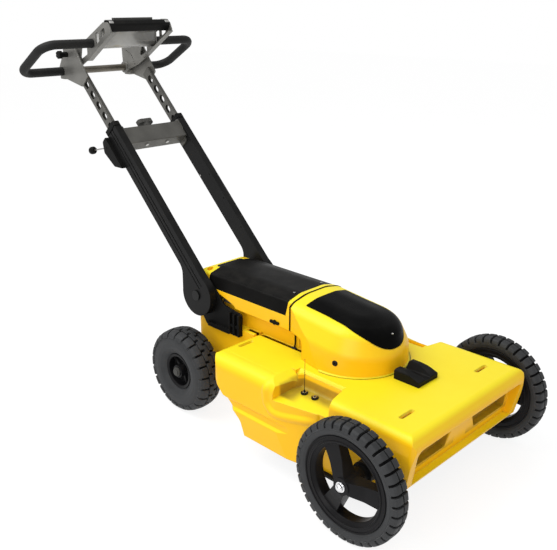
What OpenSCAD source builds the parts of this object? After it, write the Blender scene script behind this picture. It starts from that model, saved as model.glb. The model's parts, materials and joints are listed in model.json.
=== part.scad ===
// Ground penetrating radar cart: a hand-pushed survey cart with a moulded yellow body over a flat radar
// antenna, two spoked front wheels, two fat rear wheels, a removable battery box and a folding, telescopic
// handle that carries a tilting tablet tray.
// Millimetres. +X is forward, +Y is the pusher's left, +Z is up and the wheels stand on Z = 0.

/* [Front wheels] */
// Height of the front axle, which is also the wheel radius over the tread
front_r = 155; // [120:1:200]
// Distance of the front axle ahead of the cart's own zero
front_x = 348; // [300:1:380]
// Distance of each front tyre's middle outside the deck's side
front_out = 70; // [63:1:98]
// Width of the front tyre
front_tyre_w = 56; // [40:1:58]
// Radius of the front tyre's bead, where the rim starts
front_bead_r = 118; // [100:1:122]
// Radius of the opening inside the front rim
front_open_r = 95; // [80:1:98]
// Width of a spoke where it meets the rim
spoke_w = 48; // [24:1:60]
// Number of spokes
spoke_count = 3; // [3:1:6]
// Number of tread lugs on each shoulder of a front tyre
front_lugs = 36; // [16:1:48]
// Depth of the front tread grooves
front_tread = 6; // [3:0.5:8]

/* [Rear wheels] */
// Height of the rear axle, which is also the wheel radius
rear_r = 132; // [110:1:150]
// Position of the rear axle along the cart
rear_x = -413; // [-440:1:-390]
// Distance of each rear tyre's middle outside the tub's side
rear_out = 94; // [90:1:128]
// Width of the rear tyre
rear_tyre_w = 92; // [70:1:94]
// Radius of the rear tyre's bead
rear_bead_r = 56; // [45:1:70]
// Number of tread blocks round each row of a rear tyre
rear_lugs = 22; // [12:1:30]
// Depth of the rear tread grooves
rear_tread = 6; // [3:0.5:8]

/* [Axles] */
// Radius of the front axle
front_axle_r = 6; // [5:0.5:8]
// Radius of the rear axle
rear_axle_r = 8; // [6:0.5:10]
// Radial wall of the wheel bushes
bush_wall = 4; // [2:0.5:6]

/* [Deck shell] */
// Height of the flat deck
deck_z = 282; // [250:1:320]
// Half width of the deck
deck_hw = 262; // [240:1:268]
// Rear edge of the deck
deck_rear = -204; // [-220:1:-190]
// Foremost point of the deck, at the brow above the windows
deck_front = 474; // [450:1:480]
// Height of the front lip's lower edge
lip_z = 138; // [120:1:160]
// Height of the skirt's lower edge
skirt_z = 74; // [66:1:90]
// Swell of the rear flanks outside the deck's side
flank_out = 28; // [20:1:30]
// Length of the pocket's round-cornered mouth along the deck
pocket_len = 148; // [120:1:160]
// Wall thickness of the mouldings
wall = 4; // [3:0.5:6]
// Length of a strap slot
slot_len = 55; // [40:1:70]
// Width of a strap slot
slot_w = 12; // [8:0.5:14]
// Distance of a strap slot's middle from the centre line
slot_y = 170; // [155:1:190]
// Position of the front strap slots
slot_front_x = 386; // [370:1:400]
// Position of the rear strap slots
slot_rear_x = -176; // [-182:1:-166]
// Depth of the front face behind its rim
face_depth = 26; // [10:1:34]
// Depth of the hand-hold windows behind the front face
window_depth = 34; // [20:1:40]

/* [Hump] */
// Height of the hump's crown at the seam between battery box and nose
crown_z = 434; // [420:1:450]
// Half width of the hump at the seam
hump_hw = 110; // [100:1:112]
// Seam between battery box and nose
seam_x = -58; // [-70:1:-40]
// Width of the open seam between battery box and nose
seam_gap = 4; // [1:0.5:6]
// Height where the black lid starts
lid_z = 381; // [370:1:390]
// Middle of the round nose
nose_x = 95; // [80:1:110]
// Radius of the nose at the deck
nose_r = 153; // [140:1:156]
// Half width of the black nose panel at its rear corners
panel_hw = 86; // [70:1:90]
// Radius of the round front end of the nose panel
panel_r = 93; // [80:1:96]
// Depth of the nose panel's seat
panel_t = 2.5; // [1.5:0.5:4]

/* [Rear tub and battery] */
// Half width of the rear tub
tub_hw = 112; // [106:1:114]
// Rear face of the tub
tub_rear = -466; // [-480:1:-456]
// Underside of the tub
tub_z = 92; // [80:1:110]
// Half width of the narrow waist between tub and battery box
waist_hw = 84; // [70:1:95]
// Underside of the battery box
battery_z = 340; // [330:1:350]
// Rear end of the battery box
battery_rear = -470; // [-480:1:-460]

/* [Handle] */
// Position of the fold pivot along the cart
fold_x = -428; // [-436:1:-420]
// Height of the fold pivot
fold_z = 355; // [350:0.5:360]
// Lean of the handle back from the vertical
lean = 45; // [35:1:55]
// Distance of each arm's middle outside the tub's side
arm_gap = 19; // [18.5:0.5:24]
// Depth of an arm
arm_d = 58; // [50:1:64]
// Thickness of an arm
arm_t = 25.4; // [22:0.2:26]
// Length of an arm from the fold pivot
arm_len = 640; // [560:1:700]
// Radius of the round arm foot
foot_r = 66; // [60:1:70]
// Depth of a telescopic bar
bar_d = 40; // [34:1:44]
// Thickness of a telescopic bar
bar_t = 12; // [10:0.5:13]
// Distance of the bar's upper end from the fold pivot
bar_top = 876; // [840:1:900]
// Length of a telescopic bar
bar_len = 470; // [400:1:520]
// Spacing of the slots in a telescopic bar
bar_pitch = 45; // [40:1:60]
// Width of the slots in a telescopic bar
bar_slot = 21; // [10:1:26]

/* [Handlebar] */
// Rear run of the handlebar: position along the cart
grip_rear_x = -1122; // [-1140:1:-1100]
// Rear run of the handlebar: height
grip_rear_z = 992; // [960:1:1020]
// Distance from the rear run to the front run
grip_depth = 197; // [170:1:220]
// Slope of the handlebar, rising forward
grip_slope = 30; // [20:1:40]
// Half length of the runs, to the middle of the side tubes
grip_hw = 301; // [260:1:310]
// Bend radius of the corners
grip_bend = 46; // [36:1:60]
// Radius of the handlebar tube
tube_r = 12; // [10:0.5:14]
// Radius over the grip sleeve
sleeve_r = 14.5; // [13:0.5:17]

/* [Tray] */
// Clearance between a cheek plate and the telescopic bar beside it
cheek_gap = 1.5; // [1:0.5:4]
// Thickness of a cheek plate
cheek_t = 4.5; // [3:0.5:5]
// Radius of the arc of index holes about the handlebar's rear run
index_r = 60; // [50:1:66]
// Number of index holes
index_count = 9; // [5:1:12]
// Range of the tray's top bar above the cheeks' front corners
bar_lip = 6; // [3:0.5:10]

/* [Fits] */
// Radial clearance of a turning fit
turn_gap = 0.05; // [0.02:0.01:0.1]
// Clearance between parts that pass each other
pass_gap = 0.5; // [0.3:0.1:0.8]
// Clearance of a part let into a seat
seat_gap = 0.2; // [0.05:0.05:0.3]
// Clearance round the nose panel in its seat
panel_gap = 0.3; // [0.2:0.05:0.5]

/* [Hidden] */
$fn = 64;
// Cart zero moved so that the whole cart is centred on X = 0
x_shift = -(front_x + front_r + grip_rear_x - tube_r - 8) / 2;
front_y = deck_hw + front_out;
rear_y = tub_hw + rear_out;
skirt_hw = deck_hw + flank_out;
arm_y = tub_hw + arm_gap;
arm_in = arm_y - arm_t / 2;
arm_out = arm_y + arm_t / 2;
bar_in = arm_y - bar_t / 2;
bar_out = arm_y + bar_t / 2;
cheek_y = bar_in - cheek_gap - cheek_t;
head_t = 4.5;
// Point on the arms' middle line beside the fold pivot, and the pivot as seen from it
arm_base = [-390, 365.5];
pivot_u = (fold_x - arm_base[0]) * cos(lean) - (fold_z - arm_base[1]) * sin(lean);
pivot_w = (fold_x - arm_base[0]) * sin(lean) + (fold_z - arm_base[1]) * cos(lean);
bracket_out = arm_in - pass_gap;
boss_out = front_y - 32;
front_hub_out = 33;
front_hub_in = boss_out + pass_gap - front_y;
rear_hub_out = 34;
rear_hub_in = -40;
slot_list = [for (x = [slot_front_x, slot_rear_x]) for (s = [-1, 1]) [x, s * slot_y]];
knob_x = -1085;
knob_z = 1050;
pocket_rear = 56;
pocket_front = pocket_rear + pocket_len;
pocket_y = deck_hw - 74;
plug_x = [96, 133];
plug_y = deck_hw - 46;
lid_rear = battery_rear + 58;
tongue_rear = battery_rear + 34;
tongue_hw = 52;
nose_fall = 6;
catch_x = -118;
catch_z = battery_z + 9;
lever_pin_x = -arm_len + 32;
brace_u = -arm_len + 10;
lever_pin_z = -arm_d / 2 - 18;
lever_y = -arm_y - 3.9;
lever_turn = -147.5;
nose_back = 7;
nose_foot = nose_r - 9;
panel_tip = nose_x + 133;
panel_proud = 0.8;
// Depth by which the arm's rear edge runs into its round foot
foot_sink = 0.5;

// Corner helpers for outlines given as [x, y, corner radius]
function xy(v) = [v[0], v[1]];
function unit(v) = v / norm(v);
function before(p, i) = xy(p[(i + len(p) - 1) % len(p)]);
function after(p, i) = xy(p[(i + 1) % len(p)]);
function to_before(p, i) = unit(before(p, i) - xy(p[i]));
function to_after(p, i) = unit(after(p, i) - xy(p[i]));
function bulges(p, i) = cross(to_before(p, i), to_after(p, i)) < 0;
function half_angle(p, i) = acos(to_before(p, i) * to_after(p, i)) / 2;
function setback(p, i) = p[i][2] / tan(half_angle(p, i));
function arc_mid(p, i) = xy(p[i]) + unit(to_before(p, i) + to_after(p, i)) * p[i][2] / sin(half_angle(p, i));
function arc_ends(p, i) =
    [xy(p[i]) + to_before(p, i) * setback(p, i), xy(p[i]) + to_after(p, i) * setback(p, i)];
function mirrored(p) = [for (i = [len(p) - 1 : -1 : 0]) [-p[i][0], p[i][1], p[i][2]]];

// Small kite at a corner that holds the whole of its arc and nothing else of the outline
function kite(p, i) = let (
        ends = arc_ends(p, i),
        inward = unit(to_before(p, i) + to_after(p, i)))
    [ends[0], xy(p[i]), ends[1], (ends[0] + ends[1]) / 2 + inward * 0.4];

// True arc of one corner
module corner_arc(p, i) {
    intersection() {
        translate(arc_mid(p, i))
            circle(r = p[i][2]);
        polygon(kite(p, i));
    }
}

// Outline with true arcs at its corners, listed counter-clockwise
module rounded(p) {
    difference() {
        union() {
            polygon([for (i = [0 : len(p) - 1]) each (p[i][2] > 0 ? arc_ends(p, i) : [xy(p[i])])]);
            for (i = [0 : len(p) - 1])
                if (p[i][2] > 0 && bulges(p, i))
                    corner_arc(p, i);
        }
        for (i = [0 : len(p) - 1])
            if (p[i][2] > 0 && !bulges(p, i))
                corner_arc(p, i);
    }
}

// Outline in X and Z, drawn out along Y from y0 to y1
module xz_slab(y0, y1) {
    translate([0, y1, 0])
        rotate([90, 0, 0])
            linear_extrude(height = y1 - y0)
                children();
}

// Outline in Y and Z, drawn out along X from x0 to x1
module yz_slab(x0, x1) {
    translate([x0, 0, 0])
        rotate([90, 0, 90])
            linear_extrude(height = x1 - x0)
                children();
}

// Block between two opposite corners
module block(a, b) {
    translate(a)
        cube(b - a);
}

// Round bar along Y from y0 to y1
module y_bar(r, y0, y1) {
    translate([0, y1, 0])
        rotate([90, 0, 0])
            cylinder(r = r, h = y1 - y0);
}

// Cart frame placed so that the whole object is centred on X = 0
module in_cart() {
    translate([x_shift, 0, 0])
        children();
}

// Frame of the leaning handle: origin on the arms' middle line, -X up along them, +Z square to them
module in_handle() {
    in_cart()
        translate([arm_base[0], 0, arm_base[1]])
            rotate([0, lean, 0])
                children();
}

// Frame of the handlebar: origin on the rear run, +X towards the front run
module in_bar() {
    in_cart()
        translate([grip_rear_x, 0, grip_rear_z])
            rotate([0, -grip_slope, 0])
                children();
}

// Copy to both sides of the cart
module both_sides() {
    children();
    mirror([0, 1, 0])
        children();
}

// Deck shell

// Side view of the shell, shrunk by the moulding wall for its hollow
module shell_side(inset) {
    rounded([
        [deck_front - inset - 16, deck_z - inset, 22],
        [deck_rear + inset, deck_z - inset, 16],
        [deck_rear + inset, 226, 24],
        [-80 + inset, 118, 30],
        [-62 + inset, skirt_z - (inset > 0 ? 20 : 0), inset > 0 ? 4 : 16],
        [372 - inset, skirt_z - (inset > 0 ? 20 : 0), inset > 0 ? 4 : 12],
        [382 - inset, lip_z - (inset > 0 ? 20 : 0), inset > 0 ? 4 : 10],
        [450 - inset, lip_z - (inset > 0 ? 20 : 0), inset > 0 ? 4 : 6],
        [deck_front - inset, 252, 30]
    ]);
}

// End view of the shell: flat top, soft shoulders and a slight draft down the sides
module shell_end(inset) {
    half = [
        [deck_hw - 12 - inset, 50, 0],
        [deck_hw - inset, 236, 40],
        [deck_hw - 5 - inset, deck_z - inset, 24]
    ];
    rounded(concat(half, mirrored(half)));
}

// Plan of the shell with rounded corners
module shell_plan(inset) {
    rounded([
        [deck_rear + inset, -deck_hw + inset, 34],
        [deck_front - inset, -deck_hw + inset, 20],
        [deck_front - inset, deck_hw - inset, 20],
        [deck_rear + inset, deck_hw - inset, 34]
    ]);
}

// Solid form of the upper shell
module shell_form(inset) {
    intersection() {
        xz_slab(-deck_hw, deck_hw)
            shell_side(inset);
        yz_slab(deck_rear, deck_front)
            shell_end(inset);
        translate([0, 0, 40])
            linear_extrude(height = 260)
                shell_plan(inset);
    }
}

// Rear flank that swells out round the pocket, with a soft shoulder and a step low down its side
module flank_form(inset) {
    low = skirt_z - (inset > 0 ? 20 : 0);
    intersection() {
        yz_slab(deck_rear, pocket_front + 10)
            rounded([
                [-skirt_hw + 8 + inset, low, 0],
                [-deck_hw + 72, low, 0],
                [-deck_hw + 72, deck_z - inset - 0.4, 0],
                [-skirt_hw + 4 + inset, deck_z - inset - 0.4, 38],
                [-skirt_hw + inset, 174, 6],
                [-skirt_hw + 9 + inset, 165, 5],
                [-skirt_hw + 9 + inset, 150, 5],
                [-skirt_hw + 2 + inset, 142, 5]
            ]);
        xz_slab(-skirt_hw - 1, -deck_hw + 71)
            shell_side(inset + 0.4);
        translate([0, 0, 40])
            linear_extrude(height = 260)
                rounded([
                    [deck_rear + 0.4 + inset, -skirt_hw + inset, 46],
                    [50, -skirt_hw + inset, 200],
                    [pocket_front - 8 - inset, -deck_hw - 2 + inset, 24],
                    [pocket_front + 2 - inset, -deck_hw + 72, 0],
                    [deck_rear + 0.4 + inset, -deck_hw + 72, 0]
                ]);
    }
}

// Scooped pocket beside the hump, open to the side, its floor falling outwards
module pocket_form(grow) {
    intersection() {
        yz_slab(pocket_rear - 40, pocket_front + 60)
            rounded([
                [-skirt_hw - 60, 225 - grow, 0],
                [-pocket_y - 8 + grow, 246 - grow, 12],
                [-pocket_y + 2 + grow, deck_z + 30, 0],
                [-skirt_hw - 60, deck_z + 30, 0]
            ]);
        translate([0, 0, 190])
            linear_extrude(height = 130)
                rounded([
                    [pocket_rear - 14 - grow, -skirt_hw - 60, 0],
                    [pocket_front + 34 + grow, -skirt_hw - 60, 0],
                    [pocket_front - 2 + grow, -pocket_y + grow, 6],
                    [pocket_rear + 26, -pocket_y + 6 + grow, 20],
                    [pocket_rear - grow, -pocket_y - 26, 20]
                ]);
    }
}

// Sloped rim along the inner and rear edges of the pocket's mouth, grown for the wall that backs it
module pocket_rim(grow) {
    yz_slab(pocket_rear - 16 - grow, pocket_front - 6 + grow)
        polygon([
            [-pocket_y + 18 + 2 * grow, deck_z + 0.5],
            [-pocket_y - 2, deck_z - 14 - 1.5 * grow],
            [-pocket_y - 2, deck_z + 0.5]
        ]);
    xz_slab(-skirt_hw - 40, -pocket_y - 1 + grow)
        polygon([
            [pocket_rear - 34 - 2 * grow, deck_z + 0.5],
            [pocket_rear + 6 + grow, deck_z - 20 - 1.5 * grow],
            [pocket_rear + 6 + grow, deck_z + 0.5]
        ]);
}

// Front rim, shaded face behind it and the two hand-hold windows beside the middle pillar
module front_recess() {
    intersection() {
        yz_slab(380, deck_front + 40)
            rounded([
                [-226, lip_z - 40, 0],
                [226, lip_z - 40, 0],
                [242, 246, 18],
                [-242, 246, 18]
            ]);
        xz_slab(-deck_hw, deck_hw)
            polygon([[450 - face_depth + 8, lip_z + 8], [deck_front + 40, lip_z + 8], [deck_front + 40, 290],
                [deck_front - face_depth, 290]]);
    }
    both_sides()
        intersection() {
            yz_slab(380, deck_front)
                rounded([
                    [-222, 170, 8],
                    [-68, 170, 8],
                    [-37, 234, 8],
                    [-234, 234, 12]
                ]);
            block([deck_front - face_depth - window_depth, -deck_hw, 0], [deck_front, deck_hw, 300]);
        }
}

// Long hole with round ends for a strap or a bolt
module strap_slot() {
    square([slot_w, slot_len - slot_w], center = true);
    for (side = [-1, 1])
        translate([0, side * (slot_len - slot_w) / 2])
            circle(d = slot_w);
}

module deck_shell() {
    color("gold")
        in_cart()
            difference() {
                union() {
                    shell_form(0);
                    both_sides()
                        flank_form(0);
                }
                difference() {
                    union() {
                        shell_form(wall);
                        both_sides()
                            flank_form(wall);
                    }
                    block([deck_front - face_depth - window_depth - wall, -deck_hw, 0],
                        [deck_front, deck_hw, 300]);
                    both_sides() {
                        pocket_form(wall);
                        pocket_rim(wall);
                    }
                }
                both_sides()
                    pocket_form(0);
                both_sides()
                    pocket_rim(0);
                front_recess();
                for (p = slot_list)
                    translate([p[0], p[1], deck_z - 30])
                        linear_extrude(height = 40)
                            strap_slot();
                both_sides()
                    block([deck_rear + 4, -waist_hw - 16, deck_z - 12], [4, -waist_hw - 2, deck_z + 5]);
                translate([front_x, 0, front_r])
                    y_bar(front_axle_r, -deck_hw - 20, deck_hw + 20);
                both_sides()
                    for (x = plug_x)
                        translate([x, -plug_y, 190])
                            cylinder(r = 6.5, h = 90);
            }
}

// Rear tub

// Lower body of the tub
module tub_form() {
    intersection() {
        xz_slab(-tub_hw, tub_hw)
            rounded([
                [tub_rear, deck_z, 20],
                [tub_rear, tub_z + 40, 0],
                [rear_x - 36, tub_z, 0],
                [deck_rear - 20, tub_z, 0],
                [deck_rear, tub_z + 40, 0],
                [deck_rear, deck_z, 0]
            ]);
        translate([0, 0, tub_z])
            linear_extrude(height = 300)
                rounded([
                    [tub_rear, -tub_hw, 26],
                    [deck_rear, -tub_hw, 0],
                    [deck_rear, tub_hw, 0],
                    [tub_rear, tub_hw, 26]
                ]);
    }
}

// Space inside the tub
module tub_hollow() {
    xz_slab(-tub_hw + wall, tub_hw - wall)
        polygon([
            [tub_rear + 20, deck_z - wall],
            [tub_rear + 20, tub_z + 44],
            [rear_x - 28, tub_z + wall],
            [deck_rear - 26, tub_z + wall],
            [deck_rear - wall, tub_z + 44],
            [deck_rear - wall, deck_z - wall]
        ]);
}

// Narrow waist that carries the battery box, standing partly on the deck
module waist_form(inset, z0, z1) {
    translate([0, 0, z0])
        linear_extrude(height = z1 - z0)
            rounded([
                [tub_rear + 24 + inset, -waist_hw + inset, 18 - inset],
                [6 - inset, -waist_hw + inset, 16 - inset],
                [6 - inset, waist_hw - inset, 16 - inset],
                [tub_rear + 24 + inset, waist_hw - inset, 18 - inset]
            ]);
}

module rear_tub() {
    color("goldenrod")
        in_cart()
            difference() {
                union() {
                    tub_form();
                    waist_form(0, deck_z, battery_z);
                }
                tub_hollow();
                waist_form(wall, deck_z + wall, battery_z + 5);
                block([tub_rear + 30, -waist_hw + 14, deck_z - 20],
                    [deck_rear - 16, waist_hw - 14, deck_z + 20]);
                both_sides()
                    block([-246, -waist_hw - 16, deck_z - 12], [deck_rear + 1, -waist_hw - 2, deck_z + 5]);
                both_sides()
                    block([seam_x + 12, -waist_hw - 1, deck_z - 1],
                        [seam_x + 16, -waist_hw + 2, battery_z + 1]);
                translate([rear_x, 0, rear_r])
                    y_bar(rear_axle_r, -tub_hw - 20, tub_hw + 20);
            }
}

// Nose

// Half section of the nose from its middle outwards, as depth below the crown
module nose_half(inset) {
    rounded([
        [0, -210, 0],
        [nose_r + 4 - inset, -210, 0],
        [nose_r - 12 - inset, -74 - inset / 2, 50],
        [nose_r - 45 - inset, -14 - inset, 50],
        [40, -inset, 150],
        [0, -inset, 0]
    ]);
}

// Dome that falls gently forward from the seam: a straight length with a half-round front end
module nose_dome(inset) {
    run = (nose_x - nose_back + (crown_z - deck_z) * tan(nose_fall) - seam_x) / cos(nose_fall);
    translate([seam_x, 0, crown_z])
        rotate([0, nose_fall, 0]) {
            yz_slab(-30, run) {
                nose_half(inset);
                mirror([1, 0])
                    nose_half(inset);
            }
            translate([run, 0, 0])
                rotate([0, 0, -90])
                    rotate_extrude(angle = 180, $fn = 96)
                        nose_half(inset);
        }
}

// Hollow fillet where the round nose runs out onto the deck
module nose_fillet() {
    r = 12;
    translate([nose_x - nose_back, 0, 0])
        rotate([0, 0, -112])
            rotate_extrude(angle = 224, $fn = 96)
                difference() {
                    translate([nose_foot - 20, deck_z])
                        square([20 + r, r]);
                    translate([nose_foot + r, deck_z + r])
                        circle(r = r);
                }
}

// Plan of the nose: as narrow as the battery box at the seam, flaring to the round end
module nose_plan(inset) {
    half = [
        [seam_x + (inset > 0 ? wall : 0), hump_hw - inset],
        [seam_x + 30, hump_hw + 11 - inset],
        [seam_x + 70, hump_hw + 24 - inset],
        [seam_x + 106, hump_hw + 33 - inset],
        [seam_x + 142, hump_hw + 39 - inset],
        [nose_x + 24, nose_r + 30 - inset],
        [nose_x + 200, nose_r + 30 - inset]
    ];
    polygon(concat([for (p = half) [p[0], -p[1]]], [for (i = [len(half) - 1 : -1 : 0]) half[i]]));
}

module nose_form(inset) {
    intersection() {
        union() {
            nose_dome(inset);
            if (inset == 0)
                nose_fillet();
        }
        translate([0, 0, deck_z])
            linear_extrude(height = 200)
                nose_plan(inset);
    }
}

// Outline of the nose panel: cut off square at the rear, slightly waisted, round in front
module panel_plan(grow) {
    rounded([
        [panel_tip + grow, -panel_r - grow, panel_r - 6],
        [panel_tip + grow, panel_r + grow, panel_r - 6],
        [52, panel_hw - 1 + grow, 150],
        [-22 - grow, panel_hw + grow, 5],
        [-22 - grow, -panel_hw - grow, 5],
        [52, -panel_hw + 1 - grow, 150]
    ]);
}

// Everything inside the panel's outline down to its seat
module panel_seat(grow, depth) {
    difference() {
        translate([0, 0, deck_z + 60])
            linear_extrude(height = 95)
                panel_plan(grow);
        nose_dome(depth);
    }
}

module nose_cover() {
    color("gold")
        in_cart()
            difference() {
                nose_form(0);
                nose_form(wall + panel_t);
                xz_slab(-200, 200)
                    rounded([
                        [seam_x - 40, deck_z - 60, 0],
                        [6 + pass_gap, deck_z - 60, 0],
                        [6 + pass_gap, battery_z + pass_gap, 16],
                        [seam_x - 40, battery_z + pass_gap, 0]
                    ]);
                panel_seat(panel_gap, panel_t);
                both_sides()
                    translate([132, -nose_r - 5, 316])
                        rotate([-90, 0, 0])
                            cylinder(r = 6, h = 40);
                translate([212, 0, 300])
                    cylinder(r = 2.6, h = 120);
            }
}

module nose_panel() {
    color("black")
        in_cart()
            difference() {
                intersection() {
                    panel_seat(0, panel_t);
                    translate([0, 0, panel_proud])
                        nose_dome(0);
                }
                translate([212, 0, 300])
                    cylinder(r = 2.6, h = 120);
            }
}

module nose_screws() {
    color("silver")
        in_cart() {
            translate([212, 0, 352])
                cylinder(r = 2.6, h = 31);
            both_sides()
                translate([132, -nose_r + 17, 316])
                    rotate([-90, 0, 0])
                        cylinder(r = 6, h = 18);
        }
}

// Parts inside the body

module antenna_box() {
    color("dimgray")
        in_cart()
            difference() {
                block([-50, -236, skirt_z], [318, 236, skirt_z + 58]);
                block([-44, -230, skirt_z + 6], [312, 230, skirt_z + 52]);
            }
}

module wear_plate() {
    color("black")
        in_cart()
            translate([0, 0, skirt_z - 8])
                linear_extrude(height = 8)
                    rounded([
                        [-58, -deck_hw, 24],
                        [368, -deck_hw, 24],
                        [368, deck_hw, 24],
                        [-58, deck_hw, 24]
                    ]);
}

module control_unit() {
    color("gray")
        in_cart()
            block([14, -62, deck_z], [150, 62, 356]);
}

module battery_contacts() {
    color("peru")
        in_cart()
            for (s = [-1, 1])
                block([-130, s * 28 - 9, deck_z + wall], [-90, s * 28 + 9, battery_z]);
}

// Saddle on the deck: two rounded cheeks beside a channel, falling to the front
module handle_saddle() {
    color("black")
        in_cart()
            difference() {
                intersection() {
                    xz_slab(-43, 43)
                        rounded([
                            [254, deck_z, 0],
                            [332, deck_z, 0],
                            [332, deck_z + 14, 4],
                            [282, deck_z + 31, 12],
                            [254, deck_z + 31, 8]
                        ]);
                    yz_slab(250, 336)
                        rounded([
                            [-43, deck_z, 0],
                            [43, deck_z, 0],
                            [43, deck_z + 24, 6],
                            [34, deck_z + 32, 8],
                            [24, deck_z + 32, 6],
                            [12, deck_z + 10, 6],
                            [-12, deck_z + 10, 6],
                            [-24, deck_z + 32, 6],
                            [-34, deck_z + 32, 8],
                            [-43, deck_z + 24, 6]
                        ]);
                }
            }
}

// Two screw-in connectors in each pocket
module pocket_connectors() {
    color("silver")
        in_cart()
            both_sides()
                for (x = plug_x)
                    translate([x, -plug_y, 0]) {
                        difference() {
                            translate([0, 0, 224])
                                cylinder(r = 6.5, h = 25);
                            translate([0, 0, 242])
                                cylinder(r = 3.6, h = 10);
                        }
                        translate([0, 0, 241])
                            cylinder(r = 1.5, h = 5);
                    }
}

// Axles

module front_axle() {
    color("silver")
        in_cart()
            translate([front_x, 0, front_r])
                y_bar(front_axle_r, -front_y - front_hub_out - 3, front_y + front_hub_out + 3);
}

module axle_bosses() {
    color("black")
        in_cart()
            both_sides()
                translate([front_x, 0, front_r])
                    difference() {
                        union() {
                            y_bar(28, -boss_out + 14, -deck_hw + 16);
                            y_bar(20, -boss_out, -boss_out + 14);
                        }
                        y_bar(front_axle_r, -boss_out - 1, 0);
                        shell_clear();
                    }
}

// The shell's side, as the axle boss meets it
module shell_clear() {
    translate([-front_x, 0, -front_r])
        yz_slab(front_x - 60, front_x + 60)
            shell_end(0);
}

module front_hub_nuts() {
    color("silver")
        in_cart()
            both_sides()
                translate([front_x, -front_y - front_hub_out - pass_gap, front_r])
                    rotate([90, 0, 0])
                        difference() {
                            union() {
                                cylinder(r = 13, h = 1.5);
                                cylinder(r = 10, h = 7);
                                intersection() {
                                    translate([0, 0, 2])
                                        sphere(r = 10);
                                    cylinder(r = 10, h = 14);
                                }
                            }
                            translate([0, 0, -1])
                                cylinder(r = front_axle_r, h = 3.5);
                        }
}

module rear_axle() {
    color("silver")
        in_cart()
            translate([rear_x, 0, rear_r]) {
                y_bar(rear_axle_r, -rear_y - rear_hub_out - 3, rear_y + rear_hub_out + 3);
                both_sides()
                    y_bar(rear_axle_r + 6, -rear_y - rear_hub_in + pass_gap, -tub_hw);
            }
}

module rear_hub_caps() {
    color("dimgray")
        in_cart()
            both_sides()
                translate([rear_x, -rear_y - rear_hub_out - pass_gap, rear_r])
                    rotate([90, 0, 0])
                        difference() {
                            union() {
                                cylinder(r = 14, h = 5);
                                cylinder(r = 10, h = 9);
                            }
                            translate([0, 0, -1])
                                cylinder(r = rear_axle_r, h = 3.5);
                        }
}

// Fold brackets

module bracket_form() {
    difference() {
        union() {
            xz_slab(-bracket_out, -tub_hw)
                rounded([
                    [-258, 256, 10],
                    [-250, 332, 10],
                    [-330, 342, 20],
                    [-376, 390, 24],
                    [-446, 392, 26],
                    [-462, 326, 24],
                    [-410, 256, 14]
                ]);
            for (x = [-256, -276, -296])
                block([x - 3, -bracket_out - 10, 262], [x + 3, -tub_hw, 330]);
            block([-300, -bracket_out - 7, 286], [-254, -tub_hw, 294]);
            block([-398, -bracket_out - 8, 258], [-300, -tub_hw, 272]);
        }
        translate([fold_x, 0, fold_z])
            y_bar(9, -200, 0);
    }
}

module fold_bracket_right() {
    color("black")
        in_cart()
            bracket_form();
}

module fold_bracket_left() {
    color("black")
        in_cart()
            mirror([0, 1, 0])
                bracket_form();
}

module fold_pins() {
    color("silver")
        in_cart()
            both_sides()
                translate([fold_x, 0, fold_z]) {
                    y_bar(9, -arm_out - 3, -tub_hw);
                    y_bar(16, -arm_out - 4, -arm_out - pass_gap);
                }
}

// Battery box

// End view of the battery box above the given height
module hump_end(inset, low) {
    half = [
        [hump_hw - inset, low, 0],
        [hump_hw - inset, lid_z + 3, 6],
        [hump_hw - 11 - inset, 421 - inset, 12],
        [hump_hw - 60, crown_z - inset, 90]
    ];
    rounded(concat(half, mirrored(half)));
}

module battery_case() {
    front = seam_x - seam_gap;
    color("gold")
        in_cart()
            difference() {
                union() {
                    yz_slab(battery_rear + 40, front)
                        polygon([[-hump_hw, battery_z], [hump_hw, battery_z],
                            [hump_hw, lid_z], [-hump_hw, lid_z]]);
                    yz_slab(seam_x - 18, front)
                        hump_end(0, battery_z);
                    intersection() {
                        yz_slab(battery_rear, lid_rear + 6)
                            hump_end(4, battery_z);
                        xz_slab(-hump_hw, hump_hw)
                            rounded([
                                [battery_rear, battery_z, 0],
                                [lid_rear + 6, battery_z, 0],
                                [lid_rear + 6, 430, 0],
                                [battery_rear + 10, 424, 14],
                                [battery_rear, 404, 20]
                            ]);
                    }
                }
                block([battery_rear + 10, -hump_hw + wall, battery_z + wall],
                    [seam_x - 14, hump_hw - wall, lid_z + 1]);
                yz_slab(lid_rear + 8, seam_x - 18 + 0.01)
                    hump_end(-5, lid_z);
                translate([0, 0, lid_z])
                    linear_extrude(height = 100)
                        rounded([
                            [tongue_rear, -tongue_hw, 8],
                            [lid_rear + 14, -tongue_hw, 0],
                            [lid_rear + 14, tongue_hw, 0],
                            [tongue_rear, tongue_hw, 8]
                        ]);
                block([lid_rear, -hump_hw - 5, lid_z], [lid_rear + 24, hump_hw + 5, 460]);
                both_sides()
                    translate([battery_rear + 30, -74, 408])
                        cylinder(r = 10, h = 60);
                both_sides()
                    xz_slab(-hump_hw - 5, -waist_hw - 8)
                        rounded([
                            [battery_rear - 10, battery_z - 10, 0],
                            [-288, battery_z - 10, 0],
                            [-288, battery_z + 6, 8],
                            [-312, 356, 16],
                            [-366, 372, 10],
                            [battery_rear - 10, 372, 0]
                        ]);
                translate([catch_x, 0, catch_z])
                    y_bar(3 + turn_gap, -hump_hw - 5, -hump_hw + wall + 1);
            }
}

module battery_cells() {
    color("dimgray")
        in_cart()
            block([-352, -98, battery_z + wall], [-92, 98, lid_z + 22]);
}

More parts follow.
